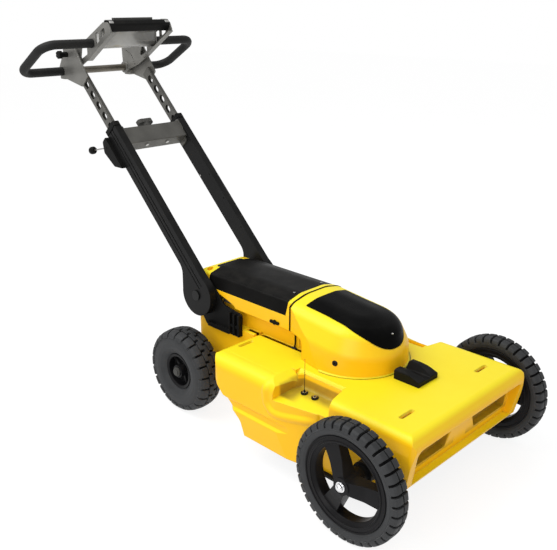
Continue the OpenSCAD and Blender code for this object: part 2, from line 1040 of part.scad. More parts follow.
module battery_lid() {
    color("black")
        in_cart()
            difference() {
                union() {
                    yz_slab(lid_rear + seat_gap, seam_x - 18)
                        hump_end(0.4, lid_z);
                    translate([0, 0, lid_z])
                        linear_extrude(height = 48)
                            rounded([
                                [tongue_rear + seat_gap, -tongue_hw + seat_gap, 8],
                                [lid_rear + 10, -tongue_hw + seat_gap, 0],
                                [lid_rear + 10, tongue_hw - seat_gap, 0],
                                [tongue_rear + seat_gap, tongue_hw - seat_gap, 8]
                            ]);
                }
                yz_slab(lid_rear + 16, seam_x - 18 - wall)
                    hump_end(wall, lid_z - 1);
                translate([-92, -58, 400])
                    cylinder(r = 3, h = 60);
                translate([-92, 58, 400])
                    cylinder(r = 3, h = 60);
            }
}

module lid_screws() {
    color("silver")
        in_cart()
            for (s = [-1, 1])
                translate([-92, s * 58, crown_z - 12])
                    cylinder(r = 3, h = 11);
}

// Quarter-turn catch on the battery box's side, with a bar to grip it by
module battery_catch() {
    color("black")
        in_cart()
            translate([catch_x, 0, catch_z]) {
                y_bar(3, -hump_hw - 2, -hump_hw + 8);
                y_bar(7, -hump_hw - 4.5, -hump_hw - pass_gap);
                xz_slab(-hump_hw - 4.5, -hump_hw - pass_gap)
                    rounded([
                        [-18, -4.5, 3],
                        [18, -4.5, 3],
                        [18, 4.5, 3],
                        [-18, 4.5, 3]
                    ]);
            }
}

// Handle

// Arm outline: straight bar whose rear edge flows out into the round foot
module arm_outline() {
    touch = [pivot_u, pivot_w] - [1, 1] * (foot_r - foot_sink) * sqrt(0.5);
    rounded([
        [-arm_len, -arm_d / 2, 3],
        [touch[0] + arm_d / 2 + touch[1], -arm_d / 2, 45],
        [touch[0], touch[1], 0],
        [pivot_u, pivot_w, 0],
        [pivot_u, arm_d / 2, 0],
        [-arm_len, arm_d / 2, 3]
    ]);
    translate([pivot_u, pivot_w])
        circle(r = foot_r);
}

module arm_form() {
    difference() {
        xz_slab(-arm_out, -arm_in)
            arm_outline();
        translate([pivot_u, 0, pivot_w])
            y_bar(9 + turn_gap, -200, 0);
        block([-arm_len - 1, -bar_out - 0.3, -bar_d / 2 - 0.3], [-220, -bar_in + 0.3, bar_d / 2 + 0.3]);
        block([-arm_len - 1, -arm_out - 1, -8], [-26, -arm_out + 2.5, -3]);
        block([-arm_len - 1, -arm_out - 1, 6], [-26, -arm_out + 2.5, 11]);
        for (x = [-400, -300, -180])
            translate([x, 0, 19])
                y_bar(2.5, -arm_in - 2, 0);
    }
}

module arm_right() {
    color("black")
        in_handle()
            arm_form();
}

module arm_left() {
    color("black")
        in_handle()
            mirror([0, 1, 0])
                arm_form();
}

// Collar that caps an arm and guides the telescopic bar
module collar_form() {
    difference() {
        translate([-arm_len - 16, 0, 0])
            rotate([0, 90, 0])
                linear_extrude(height = 16)
                    rounded([
                        [-arm_d / 2 - 2, -arm_out - 2, 6],
                        [arm_d / 2 + 2, -arm_out - 2, 6],
                        [arm_d / 2 + 2, -arm_in + 1, 6],
                        [-arm_d / 2 - 2, -arm_in + 1, 6]
                    ]);
        block([-arm_len - 20, -bar_out - 0.3, -bar_d / 2 - 0.3],
            [-arm_len + 20, -bar_in + 0.3, bar_d / 2 + 0.3]);
    }
}

module collar_right() {
    color("black")
        in_handle()
            collar_form();
}

module collar_left() {
    color("black")
        in_handle()
            mirror([0, 1, 0])
                collar_form();
}

// Housing of the fold release on the rear of the right arm
module lever_housing() {
    color("black")
        in_handle()
            difference() {
                xz_slab(-arm_out - 14, -arm_in - 3)
                    rounded([
                        [-arm_len + 4, -arm_d / 2, 0],
                        [-arm_len + 4, -arm_d / 2 - 22, 10],
                        [-arm_len + 34, -arm_d / 2 - 42, 12],
                        [-arm_len + 100, -arm_d / 2 - 30, 14],
                        [-arm_len + 130, -arm_d / 2, 0]
                    ]);
                xz_slab(-arm_out - 6, -arm_in - 9)
                    rounded([
                        [-arm_len, -120, 0],
                        [-arm_len + 55, -120, 0],
                        [-arm_len + 52, -arm_d / 2 - 8, 8],
                        [-arm_len + 12, -arm_d / 2 - 8, 8]
                    ]);
                translate([lever_pin_x, 0, lever_pin_z])
                    y_bar(3, -arm_out - 20, -arm_in + 5);
            }
}

// Bent rod that is squeezed up to release the fold lock
module release_lever() {
    color("silver")
        in_handle()
            translate([lever_pin_x, lever_y, lever_pin_z]) {
                y_bar(3 - turn_gap, -19, 11);
                y_bar(5.5, -4, 4);
                rotate([0, lever_turn, 0])
                    cylinder(r = 2.5, h = 120);
            }
}

module lever_grip() {
    color("black")
        in_handle()
            translate([lever_pin_x, lever_y, lever_pin_z])
                rotate([0, lever_turn, 0])
                    translate([0, 0, 112])
                        difference() {
                            rotate_extrude()
                                rounded([
                                    [0, 0, 0],
                                    [9, 0, 4],
                                    [13, 8, 4],
                                    [13, 20, 5],
                                    [8, 26, 4],
                                    [0, 26, 0]
                                ]);
                            translate([0, 0, -1])
                                cylinder(r = 2.5, h = 9);
                        }
}

// Grey channel that ties the arms together, with an end lug on each arm
module cross_brace() {
    color("gray")
        in_handle()
            difference() {
                union() {
                    xz_slab(-arm_in, arm_in)
                        rounded([
                            [brace_u, -22, 4],
                            [brace_u + 64, -22, 4],
                            [brace_u + 64, 24, 4],
                            [brace_u, 24, 4]
                        ]);
                    both_sides()
                        xz_slab(-arm_in, -arm_in + 5)
                            rounded([
                                [brace_u - 8, -24, 8],
                                [brace_u + 78, -24, 8],
                                [brace_u + 78, 10, 8],
                                [brace_u + 30, 27, 8],
                                [brace_u - 8, 27, 8]
                            ]);
                }
                xz_slab(-arm_in + 8, arm_in - 8)
                    rounded([
                        [brace_u + 4, -30, 0],
                        [brace_u + 60, -30, 0],
                        [brace_u + 60, 20, 3],
                        [brace_u + 4, 20, 3]
                    ]);
                translate([brace_u - 10, 0, 0])
                    rotate([0, 90, 0])
                        cylinder(r = 5 + turn_gap, h = 30);
                for (s = [-1, 1])
                    translate([brace_u + 58, s * 42, 4])
                        rotate([0, 90, 0])
                            cylinder(r = 3.5, h = 20);
            }
}

module brace_screws() {
    color("silver")
        in_handle()
            for (s = [-1, 1])
                translate([brace_u + 60, s * 42, 4])
                    rotate([0, 90, 0]) {
                        cylinder(r = 3.5, h = 4);
                        translate([0, 0, 4])
                            cylinder(r = 6, h = 3);
                    }
}

// Clamp knob on top of the brace: a bar head on a round stem
module clamp_knob() {
    color("dimgray")
        in_handle()
            rotate([0, -90, 0]) {
                translate([0, 0, -brace_u - 12])
                    cylinder(r = 5, h = 26);
                translate([0, 0, -brace_u + pass_gap])
                    cylinder(r = 13, h = 22);
                translate([0, 0, -brace_u + 20])
                    linear_extrude(height = 14)
                        rounded([
                            [-13, -30, 12],
                            [13, -30, 12],
                            [13, 30, 12],
                            [-13, 30, 12]
                        ]);
            }
}

// Perforated telescopic bar
module bar_form() {
    difference() {
        block([-bar_top, -bar_out, -bar_d / 2], [-bar_top + bar_len, -bar_in, bar_d / 2]);
        block([-bar_top - 1, -bar_out + 2, -bar_d / 2 + 2.5],
            [-bar_top + bar_len + 1, -bar_in - 2, bar_d / 2 - 2.5]);
        for (k = [0 : 8])
            translate([-bar_top + 40 + k * bar_pitch, 0, 0])
                xz_slab(-bar_out - 1, -bar_in + 1)
                    rounded([
                        [-15, -bar_slot / 2, bar_slot / 2 - 0.5],
                        [15, -bar_slot / 2, bar_slot / 2 - 0.5],
                        [15, bar_slot / 2, bar_slot / 2 - 0.5],
                        [-15, bar_slot / 2, bar_slot / 2 - 0.5]
                    ]);
    }
}

module bar_right() {
    color("gray")
        in_handle()
            bar_form();
}

module bar_left() {
    color("gray")
        in_handle()
            mirror([0, 1, 0])
                bar_form();
}

// Plate that joins a telescopic bar to the handlebar's rear run
module head_form() {
    difference() {
        union() {
            xz_slab(-bar_out - head_t, -bar_out)
                rounded([
                    [-1140, 976, 12],
                    [-1000, 948, 8],
                    [-966, 984, 8],
                    [-1034, 1074, 8],
                    [-1096, 1072, 8],
                    [-1142, 1002, 10]
                ]);
            translate([grip_rear_x, 0, grip_rear_z])
                y_bar(tube_r + 6, -bar_out - head_t, -bar_in + 1);
            xz_slab(-bar_out - head_t, -bar_in + 1)
                rounded([
                    [grip_rear_x - 14, grip_rear_z - 26, 4],
                    [grip_rear_x + 22, grip_rear_z - 26, 4],
                    [grip_rear_x + 22, grip_rear_z - 8, 4],
                    [grip_rear_x - 14, grip_rear_z - 8, 4]
                ]);
        }
        translate([grip_rear_x, 0, grip_rear_z])
            y_bar(tube_r + turn_gap, -300, 0);
        translate([knob_x, 0, knob_z])
            y_bar(5 + turn_gap, -200, 0);
    }
}

module head_plate_right() {
    color("darkgray")
        in_cart()
            head_form();
}

module head_plate_left() {
    color("darkgray")
        in_cart()
            mirror([0, 1, 0])
                head_form();
}

// Handlebar

// Quarter bend of the loop
module bend(r_out, r_in) {
    rotate_extrude(angle = 90)
        translate([grip_bend, 0])
            difference() {
                circle(r = r_out);
                if (r_in > 0)
                    circle(r = r_in);
            }
}

// Straight run of the loop along X or Y
module run_x(r_out, r_in, x0, x1) {
    translate([x0, 0, 0])
        rotate([0, 90, 0])
            difference() {
                cylinder(r = r_out, h = x1 - x0);
                if (r_in > 0)
                    translate([0, 0, -1])
                        cylinder(r = r_in, h = x1 - x0 + 2);
            }
}

module run_y(r_out, r_in, y0, y1) {
    difference() {
        y_bar(r_out, y0, y1);
        if (r_in > 0)
            y_bar(r_in, y0 - 1, y1 + 1);
    }
}

// Half of the closed loop on the pusher's left, its rear run starting at y_rear
module half_loop(r_out, r_in, y_rear) {
    run_y(r_out, r_in, y_rear, grip_hw - grip_bend);
    translate([grip_bend, grip_hw - grip_bend, 0])
        rotate([0, 0, 90])
            bend(r_out, r_in);
    translate([0, grip_hw, 0])
        run_x(r_out, r_in, grip_bend, grip_depth - grip_bend);
    translate([grip_depth - grip_bend, grip_hw - grip_bend, 0])
        bend(r_out, r_in);
    translate([grip_depth, 0, 0])
        run_y(r_out, r_in, 0, grip_hw - grip_bend);
}

module handlebar() {
    color("gray")
        in_bar()
            both_sides()
                half_loop(tube_r, 0, 0);
}

module grip_sleeve() {
    color("black")
        in_bar()
            both_sides()
                half_loop(sleeve_r, tube_r, bar_out + head_t + pass_gap);
}

// Tablet tray

// Side cheek: bearing ring on the rear run, arc of index holes, and a windowed arm up to the top bar
module cheek_form() {
    difference() {
        union() {
            xz_slab(-cheek_y - cheek_t, -cheek_y)
                rounded([
                    [-1108, 984, 6],
                    [-1046, 1004, 14],
                    [-988, 1034, 10],
                    [-838, 1128, 8],
                    [-852, 1158, 12],
                    [-880, 1158, 10],
                    [-1010, 1090, 20],
                    [-1140, 1084, 12],
                    [-1136, 1010, 6]
                ]);
            translate([grip_rear_x, 0, grip_rear_z])
                y_bar(tube_r + 8, -cheek_y - cheek_t, -cheek_y + 6);
            translate([-838, 0, 1128])
                rotate([0, 180 - 32, 0])
                    block([0, -cheek_y - cheek_t, 0], [176, -cheek_y + 16, 3]);
        }
        translate([grip_rear_x, 0, grip_rear_z]) {
            y_bar(tube_r, -200, 0);
            rotate([0, -grip_slope, 0])
                translate([grip_depth, 0, 0])
                    y_bar(sleeve_r, -200, 0);
            for (k = [0 : index_count - 1])
                rotate([0, -(14 + k * 8), 0])
                    translate([index_r, 0, 0])
                        y_bar(2.4, -200, 0);
        }
        xz_slab(-cheek_y - cheek_t - 1, -cheek_y + 1)
            rounded([
                [-930, 1084, 5],
                [-908, 1098, 5],
                [-908, 1132, 5],
                [-930, 1120, 5]
            ]);
        xz_slab(-cheek_y - cheek_t - 1, -cheek_y + 1)
            rounded([
                [-898, 1106, 5],
                [-872, 1122, 5],
                [-876, 1142, 5],
                [-898, 1132, 5]
            ]);
        xz_slab(-cheek_y - cheek_t - 1, -cheek_y + 1)
            rounded([
                [-1030, 1034, 6],
                [-984, 1054, 6],
                [-984, 1080, 6],
                [-1018, 1078, 6]
            ]);
    }
}

module cheek_right() {
    color("darkgray")
        in_cart()
            cheek_form();
}

module cheek_left() {
    color("darkgray")
        in_cart()
            mirror([0, 1, 0])
                cheek_form();
}

// Cross plate of the tray, folded down along its front edge
module tray_strip(x0, x1, drop) {
    rotate([0, -27.6, 0])
        xz_slab(-cheek_y, cheek_y)
            rounded([
                [x0, -3, 0],
                [x1 - 3, -3, 0],
                [x1 - 3, -drop, 0],
                [x1, -drop, 0],
                [x1, 0, 2],
                [x0, 0, 0]
            ]);
}

module tray_plate_front() {
    color("gray")
        in_cart()
            translate([-1010, 0, 1090])
                tray_strip(84, 128, 22);
}

module tray_plate_rear() {
    color("lightgray")
        in_cart()
            translate([-1010, 0, 1090])
                tray_strip(4, 72, 34);
}

// Black bar across the front of the tray and its thin raised lip
module tray_bar() {
    color("black")
        in_cart()
            xz_slab(-cheek_y, cheek_y)
                rounded([
                    [-884, 1134, 3],
                    [-858, 1126, 8],
                    [-844, 1150, 8],
                    [-856, 1158 + bar_lip, 8],
                    [-880, 1158 + bar_lip, 5]
                ]);
}

module tray_lip() {
    color("dimgray")
        in_cart()
            block([-876, -92, 1158 + bar_lip], [-864, 60, 1158 + bar_lip + 7]);
}

// Hand knob and shaft of the tilt lock
module knob_form() {
    translate([knob_x, 0, knob_z]) {
        y_bar(5, -bar_out - head_t - 32, -cheek_y - cheek_t - pass_gap);
        y_bar(9, -bar_out - head_t - 14, -bar_out - head_t - pass_gap);
        difference() {
            y_bar(13, -bar_out - head_t - 34, -bar_out - head_t - 20);
            for (k = [0 : 5])
                rotate([0, k * 60, 0])
                    translate([15.5, 0, 0])
                        y_bar(4.5, -bar_out - head_t - 40, -bar_out - head_t - 10);
        }
    }
}

module tilt_knob_right() {
    color("dimgray")
        in_cart()
            knob_form();
}

module tilt_knob_left() {
    color("dimgray")
        in_cart()
            mirror([0, 1, 0])
                knob_form();
}

// Wheels, each drawn about its own axle with the outer side towards +Z of the wheel

// Wheel frame on the right side
module at_wheel(x, y, z) {
    in_cart()
        translate([x, -y, z])
            rotate([90, 0, 0])
                children();
}

module front_tyre() {
    hw = front_tyre_w / 2;
    difference() {
        rotate_extrude($fn = 96)
            rounded([
                [front_bead_r, -17, 0],
                [front_r - 24, -hw, 14],
                [front_r, -hw + 8, 11],
                [front_r, hw - 8, 11],
                [front_r - 24, hw, 14],
                [front_bead_r, 17, 0]
            ]);
        for (k = [0 : front_lugs - 1])
            for (s = [-1, 1])
                rotate([0, 0, (k + (s > 0 ? 0 : 0.5)) * 360 / front_lugs]) {
                    translate([front_r - front_tread, -4, s > 0 ? 4 : -hw - 5])
                        cube([front_tread + 5, 8, hw + 1]);
                    translate([front_r - front_tread - 9, -4, s > 0 ? hw - 4 : -hw - 6])
                        cube([front_tread + 14, 8, 10]);
                }
    }
}

module front_rim() {
    hub = 22;
    difference() {
        union() {
            rotate_extrude($fn = 96)
                rounded([
                    [front_open_r, -14, 3],
                    [front_open_r + 8, -21, 3],
                    [front_bead_r + 3, -21, 2],
                    [front_bead_r, -17, 0],
                    [front_bead_r, 17, 0],
                    [front_bead_r + 3, 21, 2],
                    [front_open_r + 8, 21, 3],
                    [front_open_r, 14, 3]
                ]);
            translate([0, 0, front_hub_in])
                cylinder(r = hub, h = front_hub_out - front_hub_in);
            for (k = [0 : spoke_count - 1])
                rotate([0, 0, k * 360 / spoke_count])
                    intersection() {
                        rotate([90, 0, 0])
                            linear_extrude(height = 80, center = true)
                                rounded([
                                    [10, -12, 0],
                                    [front_open_r + 3, -12, 0],
                                    [front_open_r + 3, 13, 0],
                                    [58, 18, 40],
                                    [24, 29, 20],
                                    [10, 30, 0]
                                ]);
                        translate([0, 0, -20])
                            linear_extrude(height = 60)
                                polygon([[0, -16], [hub, -17], [front_open_r + 3, -spoke_w / 2],
                                    [front_open_r + 3, spoke_w / 2], [hub, 17], [0, 16]]);
                    }
        }
        for (k = [0 : spoke_count - 1])
            rotate([0, 0, k * 360 / spoke_count]) {
                translate([0, 0, -30])
                    linear_extrude(height = 36)
                        rounded([
                            [hub + 6, -12, 4],
                            [front_open_r - 7, -spoke_w / 2 + 7, 5],
                            [front_open_r - 7, spoke_w / 2 - 7, 5],
                            [hub + 6, 12, 4]
                        ]);
            }
        translate([0, 0, front_hub_in - 1])
            cylinder(r = front_axle_r + bush_wall, h = front_hub_out - front_hub_in + 2);
    }
}

module front_bush() {
    translate([0, 0, front_hub_in])
        difference() {
            cylinder(r = front_axle_r + bush_wall, h = front_hub_out - front_hub_in);
            translate([0, 0, -1])
                cylinder(r = front_axle_r + turn_gap, h = front_hub_out - front_hub_in + 2);
        }
}

module rear_tyre() {
    hw = rear_tyre_w / 2;
    difference() {
        rotate_extrude($fn = 96)
            difference() {
                rounded([
                    [rear_bead_r, -28, 0],
                    [rear_r - 44, -hw, 26],
                    [rear_r - 7, -hw + 9, 16],
                    [rear_r, -hw + 28, 20],
                    [rear_r, hw - 28, 20],
                    [rear_r - 7, hw - 9, 16],
                    [rear_r - 44, hw, 26],
                    [rear_bead_r, 28, 0]
                ]);
                for (s = [-1, 1])
                    translate([rear_r - rear_tread, s * 14 - 1.75])
                        square([rear_tread + 5, 3.5]);
            }
        for (k = [0 : rear_lugs - 1]) {
            rotate([0, 0, (k + 0.5) * 360 / rear_lugs])
                translate([rear_r - rear_tread + 1, -2, -10])
                    cube([rear_tread + 5, 4, 20]);
            for (s = [-1, 1])
                rotate([0, 0, (k + 0.25 * s) * 360 / rear_lugs])
                    translate([rear_r - rear_tread - 4, -2, s > 0 ? 18 : -hw - 5])
                        cube([rear_tread + 10, 4, hw - 13]);
        }
    }
}

module rear_rim() {
    difference() {
        union() {
            rotate_extrude($fn = 96)
                rounded([
                    [rear_bead_r - 9, -30, 2],
                    [rear_bead_r + 5, -34, 2],
                    [rear_bead_r, -28, 0],
                    [rear_bead_r, 28, 0],
                    [rear_bead_r + 5, 34, 2],
                    [rear_bead_r - 9, 30, 2]
                ]);
            translate([0, 0, -8])
                cylinder(r = rear_bead_r - 4, h = 14);
            translate([0, 0, rear_hub_in])
                cylinder(r = 20, h = rear_hub_out - rear_hub_in);
            for (k = [0 : 4])
                rotate([0, 0, k * 72])
                    translate([12, -4, -7])
                        cube([rear_bead_r - 19, 8, 21]);
        }
        translate([0, 0, rear_hub_in - 1])
            cylinder(r = rear_axle_r + turn_gap, h = rear_hub_out - rear_hub_in + 2);
    }
}

module front_tyre_right() {
    color("dimgray")
        at_wheel(front_x, front_y, front_r)
            front_tyre();
}

module front_rim_right() {
    color("black")
        at_wheel(front_x, front_y, front_r)
            front_rim();
}

module front_bush_right() {
    color("tan")
        at_wheel(front_x, front_y, front_r)
            front_bush();
}

module front_tyre_left() {
    color("dimgray")
        mirror([0, 1, 0])
            at_wheel(front_x, front_y, front_r)
                front_tyre();
}

module front_rim_left() {
    color("black")
        mirror([0, 1, 0])
            at_wheel(front_x, front_y, front_r)
                front_rim();
}

module front_bush_left() {
    color("tan")
        mirror([0, 1, 0])
            at_wheel(front_x, front_y, front_r)
                front_bush();
}

module rear_tyre_right() {
    color("dimgray")
        at_wheel(rear_x, rear_y, rear_r)
            rear_tyre();
}

module rear_rim_right() {
    color("black")
        at_wheel(rear_x, rear_y, rear_r)
            rear_rim();
}

module rear_tyre_left() {
    color("dimgray")
        mirror([0, 1, 0])
            at_wheel(rear_x, rear_y, rear_r)
                rear_tyre();
}

module rear_rim_left() {
    color("black")
        mirror([0, 1, 0])
            at_wheel(rear_x, rear_y, rear_r)
                rear_rim();
}

deck_shell();
rear_tub();
nose_cover();
nose_panel();
antenna_box();
wear_plate();
control_unit();
handle_saddle();
pocket_connectors();
front_axle();
axle_bosses();
front_hub_nuts();
rear_axle();
rear_hub_caps();
fold_bracket_right();
fold_bracket_left();
fold_pins();
battery_contacts();
nose_screws();
battery_case();
battery_cells();
battery_lid();
lid_screws();
battery_catch();
arm_right();
arm_left();
collar_right();
collar_left();
lever_housing();
cross_brace();
brace_screws();
clamp_knob();
release_lever();
lever_grip();
bar_right();
bar_left();
head_plate_right();
head_plate_left();
handlebar();
grip_sleeve();
cheek_right();
cheek_left();
tray_plate_front();
tray_plate_rear();
tray_bar();
tray_lip();
tilt_knob_right();
tilt_knob_left();
front_tyre_right();
front_rim_right();
front_bush_right();
front_tyre_left();
front_rim_left();
front_bush_left();
rear_tyre_right();
rear_rim_right();
rear_tyre_left();
rear_rim_left();
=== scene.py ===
import json
import math

import bmesh
import bpy
from bpy.props import FloatProperty, FloatVectorProperty, IntProperty, PointerProperty
from mathutils import Matrix, Vector


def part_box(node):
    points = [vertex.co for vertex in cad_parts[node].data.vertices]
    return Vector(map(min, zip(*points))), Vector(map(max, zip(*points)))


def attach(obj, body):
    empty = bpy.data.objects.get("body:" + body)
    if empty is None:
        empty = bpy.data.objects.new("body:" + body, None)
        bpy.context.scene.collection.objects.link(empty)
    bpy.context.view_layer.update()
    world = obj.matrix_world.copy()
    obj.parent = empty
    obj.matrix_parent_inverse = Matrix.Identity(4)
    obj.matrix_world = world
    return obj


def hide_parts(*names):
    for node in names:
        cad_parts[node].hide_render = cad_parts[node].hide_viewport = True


bl_info = {
    "name": "Ground Radar Cart",
    "version": (1, 0, 0),
    "blender": (4, 5, 0),
    "location": "3D View > Sidebar > Radar Cart",
    "description": "Finishes and small fittings of a hand-pushed ground penetrating radar cart",
    "category": "Object",
}

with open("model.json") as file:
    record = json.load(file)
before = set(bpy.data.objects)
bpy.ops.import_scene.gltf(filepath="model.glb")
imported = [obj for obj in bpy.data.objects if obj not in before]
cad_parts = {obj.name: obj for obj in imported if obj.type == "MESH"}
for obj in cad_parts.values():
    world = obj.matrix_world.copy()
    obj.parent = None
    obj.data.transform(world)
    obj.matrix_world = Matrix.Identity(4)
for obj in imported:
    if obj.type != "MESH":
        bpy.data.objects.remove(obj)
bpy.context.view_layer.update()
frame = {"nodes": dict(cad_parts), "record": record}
NODES = frame["nodes"]

SIDES = (("right", -1), ("left", 1))
BODYWORK = ("rear_tub", "nose_cover", "battery_case")
BLACK_MOULDINGS = (
    "wear_plate", "handle_saddle", "axle_bosses", "fold_bracket_right", "fold_bracket_left",
    "collar_right", "collar_left", "lever_housing", "lever_grip", "tray_bar", "battery_catch",
    "tilt_knob_right", "tilt_knob_left")
GREY_MOULDINGS = (
    "antenna_box", "control_unit", "battery_cells", "rear_hub_caps", "tray_lip", "clamp_knob")
GREY_METAL = ("cross_brace", "bar_right", "bar_left", "tray_plate_front")
GREY_PLATES = ("head_plate_right", "head_plate_left", "cheek_right", "cheek_left")
TYRES = ("front_tyre_right", "front_tyre_left", "rear_tyre_right", "rear_tyre_left")
RIMS = ("front_rim_right", "front_rim_left", "rear_rim_right", "rear_rim_left")
BRIGHT_STEEL = ("front_axle", "rear_axle", "release_lever", "lid_screws", "brace_screws")

# Radii of the solids that the fittings sit on
NOSE_BORE = 0.006
PANEL_BORE = 0.0026
LID_BORE = 0.003
PLUG_RADIUS = 0.0065
# Screw heads: height, and depth by which each is let into its seat
SIDE_HEAD = (0.004, 0.0005)
PANEL_HEAD = (0.0014, 0.0004)
LID_HEAD = (0.0016, 0.0006)
ARM_HEAD = (0.0018, 0.0003)
# Every screw head: sides, width of the socket as a share of the radius, depth of the socket as a share of the
# height, and rounding of the rim as a share of the lesser of the two
SCREW_SIDES = 24
SOCKET_SHARE = 0.5
SOCKET_DEPTH = 0.6
SCREW_ROUND = 0.2
# Axis of the panel's screw, which leans with the nose
PANEL_LEAN = (0.2, 0, 1)
# Ring round a sunk screw: distance from its bore and height over the skin
GROMMET_SECTION = ((0.0, -0.002), (0.0, 0.0004), (0.0012, 0.0012), (0.0024, 0.0004), (0.0026, -0.002))
GROMMET_STEPS = 32
# Search for the nose's skin beside a screw: start from the cart's middle, and rise in radii of the bore
NOSE_PROBE = 0.3
NOSE_SPREAD = 1.5
# Drop of the collars and of the whip's foot below the top of the connectors
COLLAR_DROP = 0.0018
WHIP_DROP = 0.003
# Whip: its tip, the ferrule's foot and top and the bead, all as shares of its radius
WHIP_TAPER = 0.6
FERRULE_FOOT = 2.6
FERRULE_TOP = 1.8
WHIP_BEAD = 1.2
# Height of the ferrule and the rounding of its top
FERRULE_HEIGHT = 0.009
FERRULE_EDGE = 0.0005
# Collars: margin and height of a knurl, clearance round a connector and the well's share of the height
KNURL_MARGIN = 0.0002
KNURL_RISE = 0.0005
WELL_GAP = 0.0003
WELL_SHARE = 0.8
# Middle line of the leaning arms: a point on it, its direction upwards and the direction square to it
ARM_LINE = Vector((-0.0705, 0.0, 0.3655))
ARM_RUN = Vector((-math.sqrt(0.5), 0.0, math.sqrt(0.5)))
ARM_FACE = Vector((math.sqrt(0.5), 0.0, math.sqrt(0.5)))
# Place of an arm's screw along the arm and off its middle line
ARM_SCREW_UP = 0.426
ARM_SCREW_OFF = -0.023
# Small plug in the groove beside the waist: its middle, its size and the rounding of its edges
GROOVE_PLUG = Vector((0.2607, -0.0925, 0.277))
GROOVE_PLUG_SIZE = Vector((0.017, 0.011, 0.014))
GROOVE_PLUG_ROUND = 0.0032
# Half section of each kind of tyre as radius and offset from its middle plane, from bead to crown
FRONT_CARCASS = (
    (0.1180, 0.0170), (0.1225, 0.0212), (0.1280, 0.0245), (0.1340, 0.0258), (0.1400, 0.0246),
    (0.1450, 0.0210), (0.1478, 0.0160), (0.1488, 0.0090), (0.1490, 0.0))
REAR_CARCASS = (
    (0.0560, 0.0280), (0.0650, 0.0360), (0.0760, 0.0425), (0.0870, 0.0442), (0.0990, 0.0436),
    (0.1110, 0.0405), (0.1185, 0.0345), (0.1235, 0.0250), (0.1255, 0.0120), (0.1260, 0.0))
# Tread rows: section of a block, share of the pitch that it fills and share of the pitch that it is turned by
FRONT_ROWS = (
    (((0.1550, 0.0022), (0.1550, 0.0120), (0.1538, 0.0182), (0.1500, 0.0231), (0.1440, 0.0257),
      (0.1375, 0.0265), (0.1370, 0.0240), (0.1430, 0.0215), (0.1465, 0.0150), (0.1470, 0.0022)), 0.76, 0.0),)
REAR_ROWS = (
    (((0.1320, 0.0), (0.1318, 0.0060), (0.1312, 0.0124), (0.1235, 0.0124), (0.1240, 0.0)), 0.80, 0.25),
    (((0.1308, 0.0166), (0.1296, 0.0240), (0.1268, 0.0330), (0.1210, 0.0405), (0.1120, 0.0440),
      (0.1105, 0.0395), (0.1180, 0.0330), (0.1225, 0.0240), (0.1235, 0.0166)), 0.82, 0.0))
# Kinds of tyre, each with its number of blocks in a row
TYRE_KINDS = (("front", FRONT_CARCASS, FRONT_ROWS, 36), ("rear", REAR_CARCASS, REAR_ROWS, 22))
# Tread block: steps along its curve and the broken edge round its ends
BLOCK_STEPS = 3
BLOCK_EDGE = 0.0011
# Steps of a full turn about a wheel's axis
WHEEL_STEPS = 96
# Beads on each face of a front rim: radius and half width, then their section as shares of that half width
# and distances from the wheel's middle plane
RIM_BEADS = ((0.1062, 0.0026), (0.1188, 0.0024))
RIM_BEAD_SECTION = ((-1.0, 0.0205), (-0.7, 0.0223), (0.0, 0.0230), (0.7, 0.0223), (1.0, 0.0205))
# Depth below the crown down to which a carcass is painted darker, as shade in the grooves
GROOVE_REACH = 0.011
# Boxes of painted shade in the recesses on one side of the deck, the side pocket's walls and the hand-hold
# windows: two corners and the margin over which each fades
PAINTED_SHADE_ZONES = (
    ((0.366, 0.190, 0.240), (0.520, 0.211, 0.2665), (0.012, 0.032, 0.008)),
    ((0.346, 0.190, 0.236), (0.392, 0.256, 0.2650), (0.040, 0.012, 0.008)),
    ((0.700, 0.030, 0.165), (0.752, 0.240, 0.240), (0.004, 0.004, 0.004)))
# Colours of the painted shade in the recesses, of rubbed yellow edges, of dust and of scuffed tread
PAINTED_SHADE_BROWN = (0.27, 0.155, 0.016)
RUBBED_YELLOW = (0.95, 0.80, 0.16)
DUST_GREY = (0.20, 0.18, 0.15)
SCUFF_GREY = (0.15, 0.15, 0.148)
# Streaks of the grey metal, drawn out across the cart
ACROSS = (700.0, 60.0, 700.0)
# Line of the soft ridge round the left pocket: points near the deck's skin, each with its direction outwards
RIDGE_LINE = (
    ((0.3395, 0.2620, 0.2790), (0.0, 0.45, 0.90)), ((0.3395, 0.2810, 0.2620), (0.0, 0.85, 0.50)),
    ((0.3405, 0.2890, 0.2400), (0.0, 1.00, 0.10)), ((0.3455, 0.2900, 0.2170), (0.0, 1.00, 0.00)),
    ((0.3615, 0.2900, 0.2010), (0.0, 1.00, 0.00)), ((0.3835, 0.2880, 0.1950), (0.0, 1.00, 0.00)),
    ((0.4145, 0.2820, 0.1970), (0.0, 1.00, 0.00)), ((0.4515, 0.2750, 0.2030), (0.0, 1.00, 0.00)),
    ((0.4895, 0.2685, 0.2090), (0.0, 1.00, 0.00)), ((0.5195, 0.2630, 0.2130), (0.0, 1.00, 0.00)))
# Points between two of these, and points from the ridge's middle to its edge
RIDGE_STEPS = 6
RIDGE_ACROSS = 8
# Search for the deck's skin under a ridge: start over the line, and length
RIDGE_PROBE = 0.03
RIDGE_REACH = 0.045
# A ridge fades over one part in this many of its length at each end
RIDGE_FADE = 5
# Depth of a ridge's edges in the skin and the thickness of its sheet
RIDGE_SINK = 0.0004
RIDGE_SHEET = 0.002
# Gasket of the seam: height about which it is drawn out from the nose's skin, by how much, its lap over the
# nose and the flatness by which the nose's end is told
SEAM_MIDDLE = 0.36
SEAM_SHARE = 1.012
SEAM_LAP = 0.0022
SEAM_FLATNESS = 0.0001
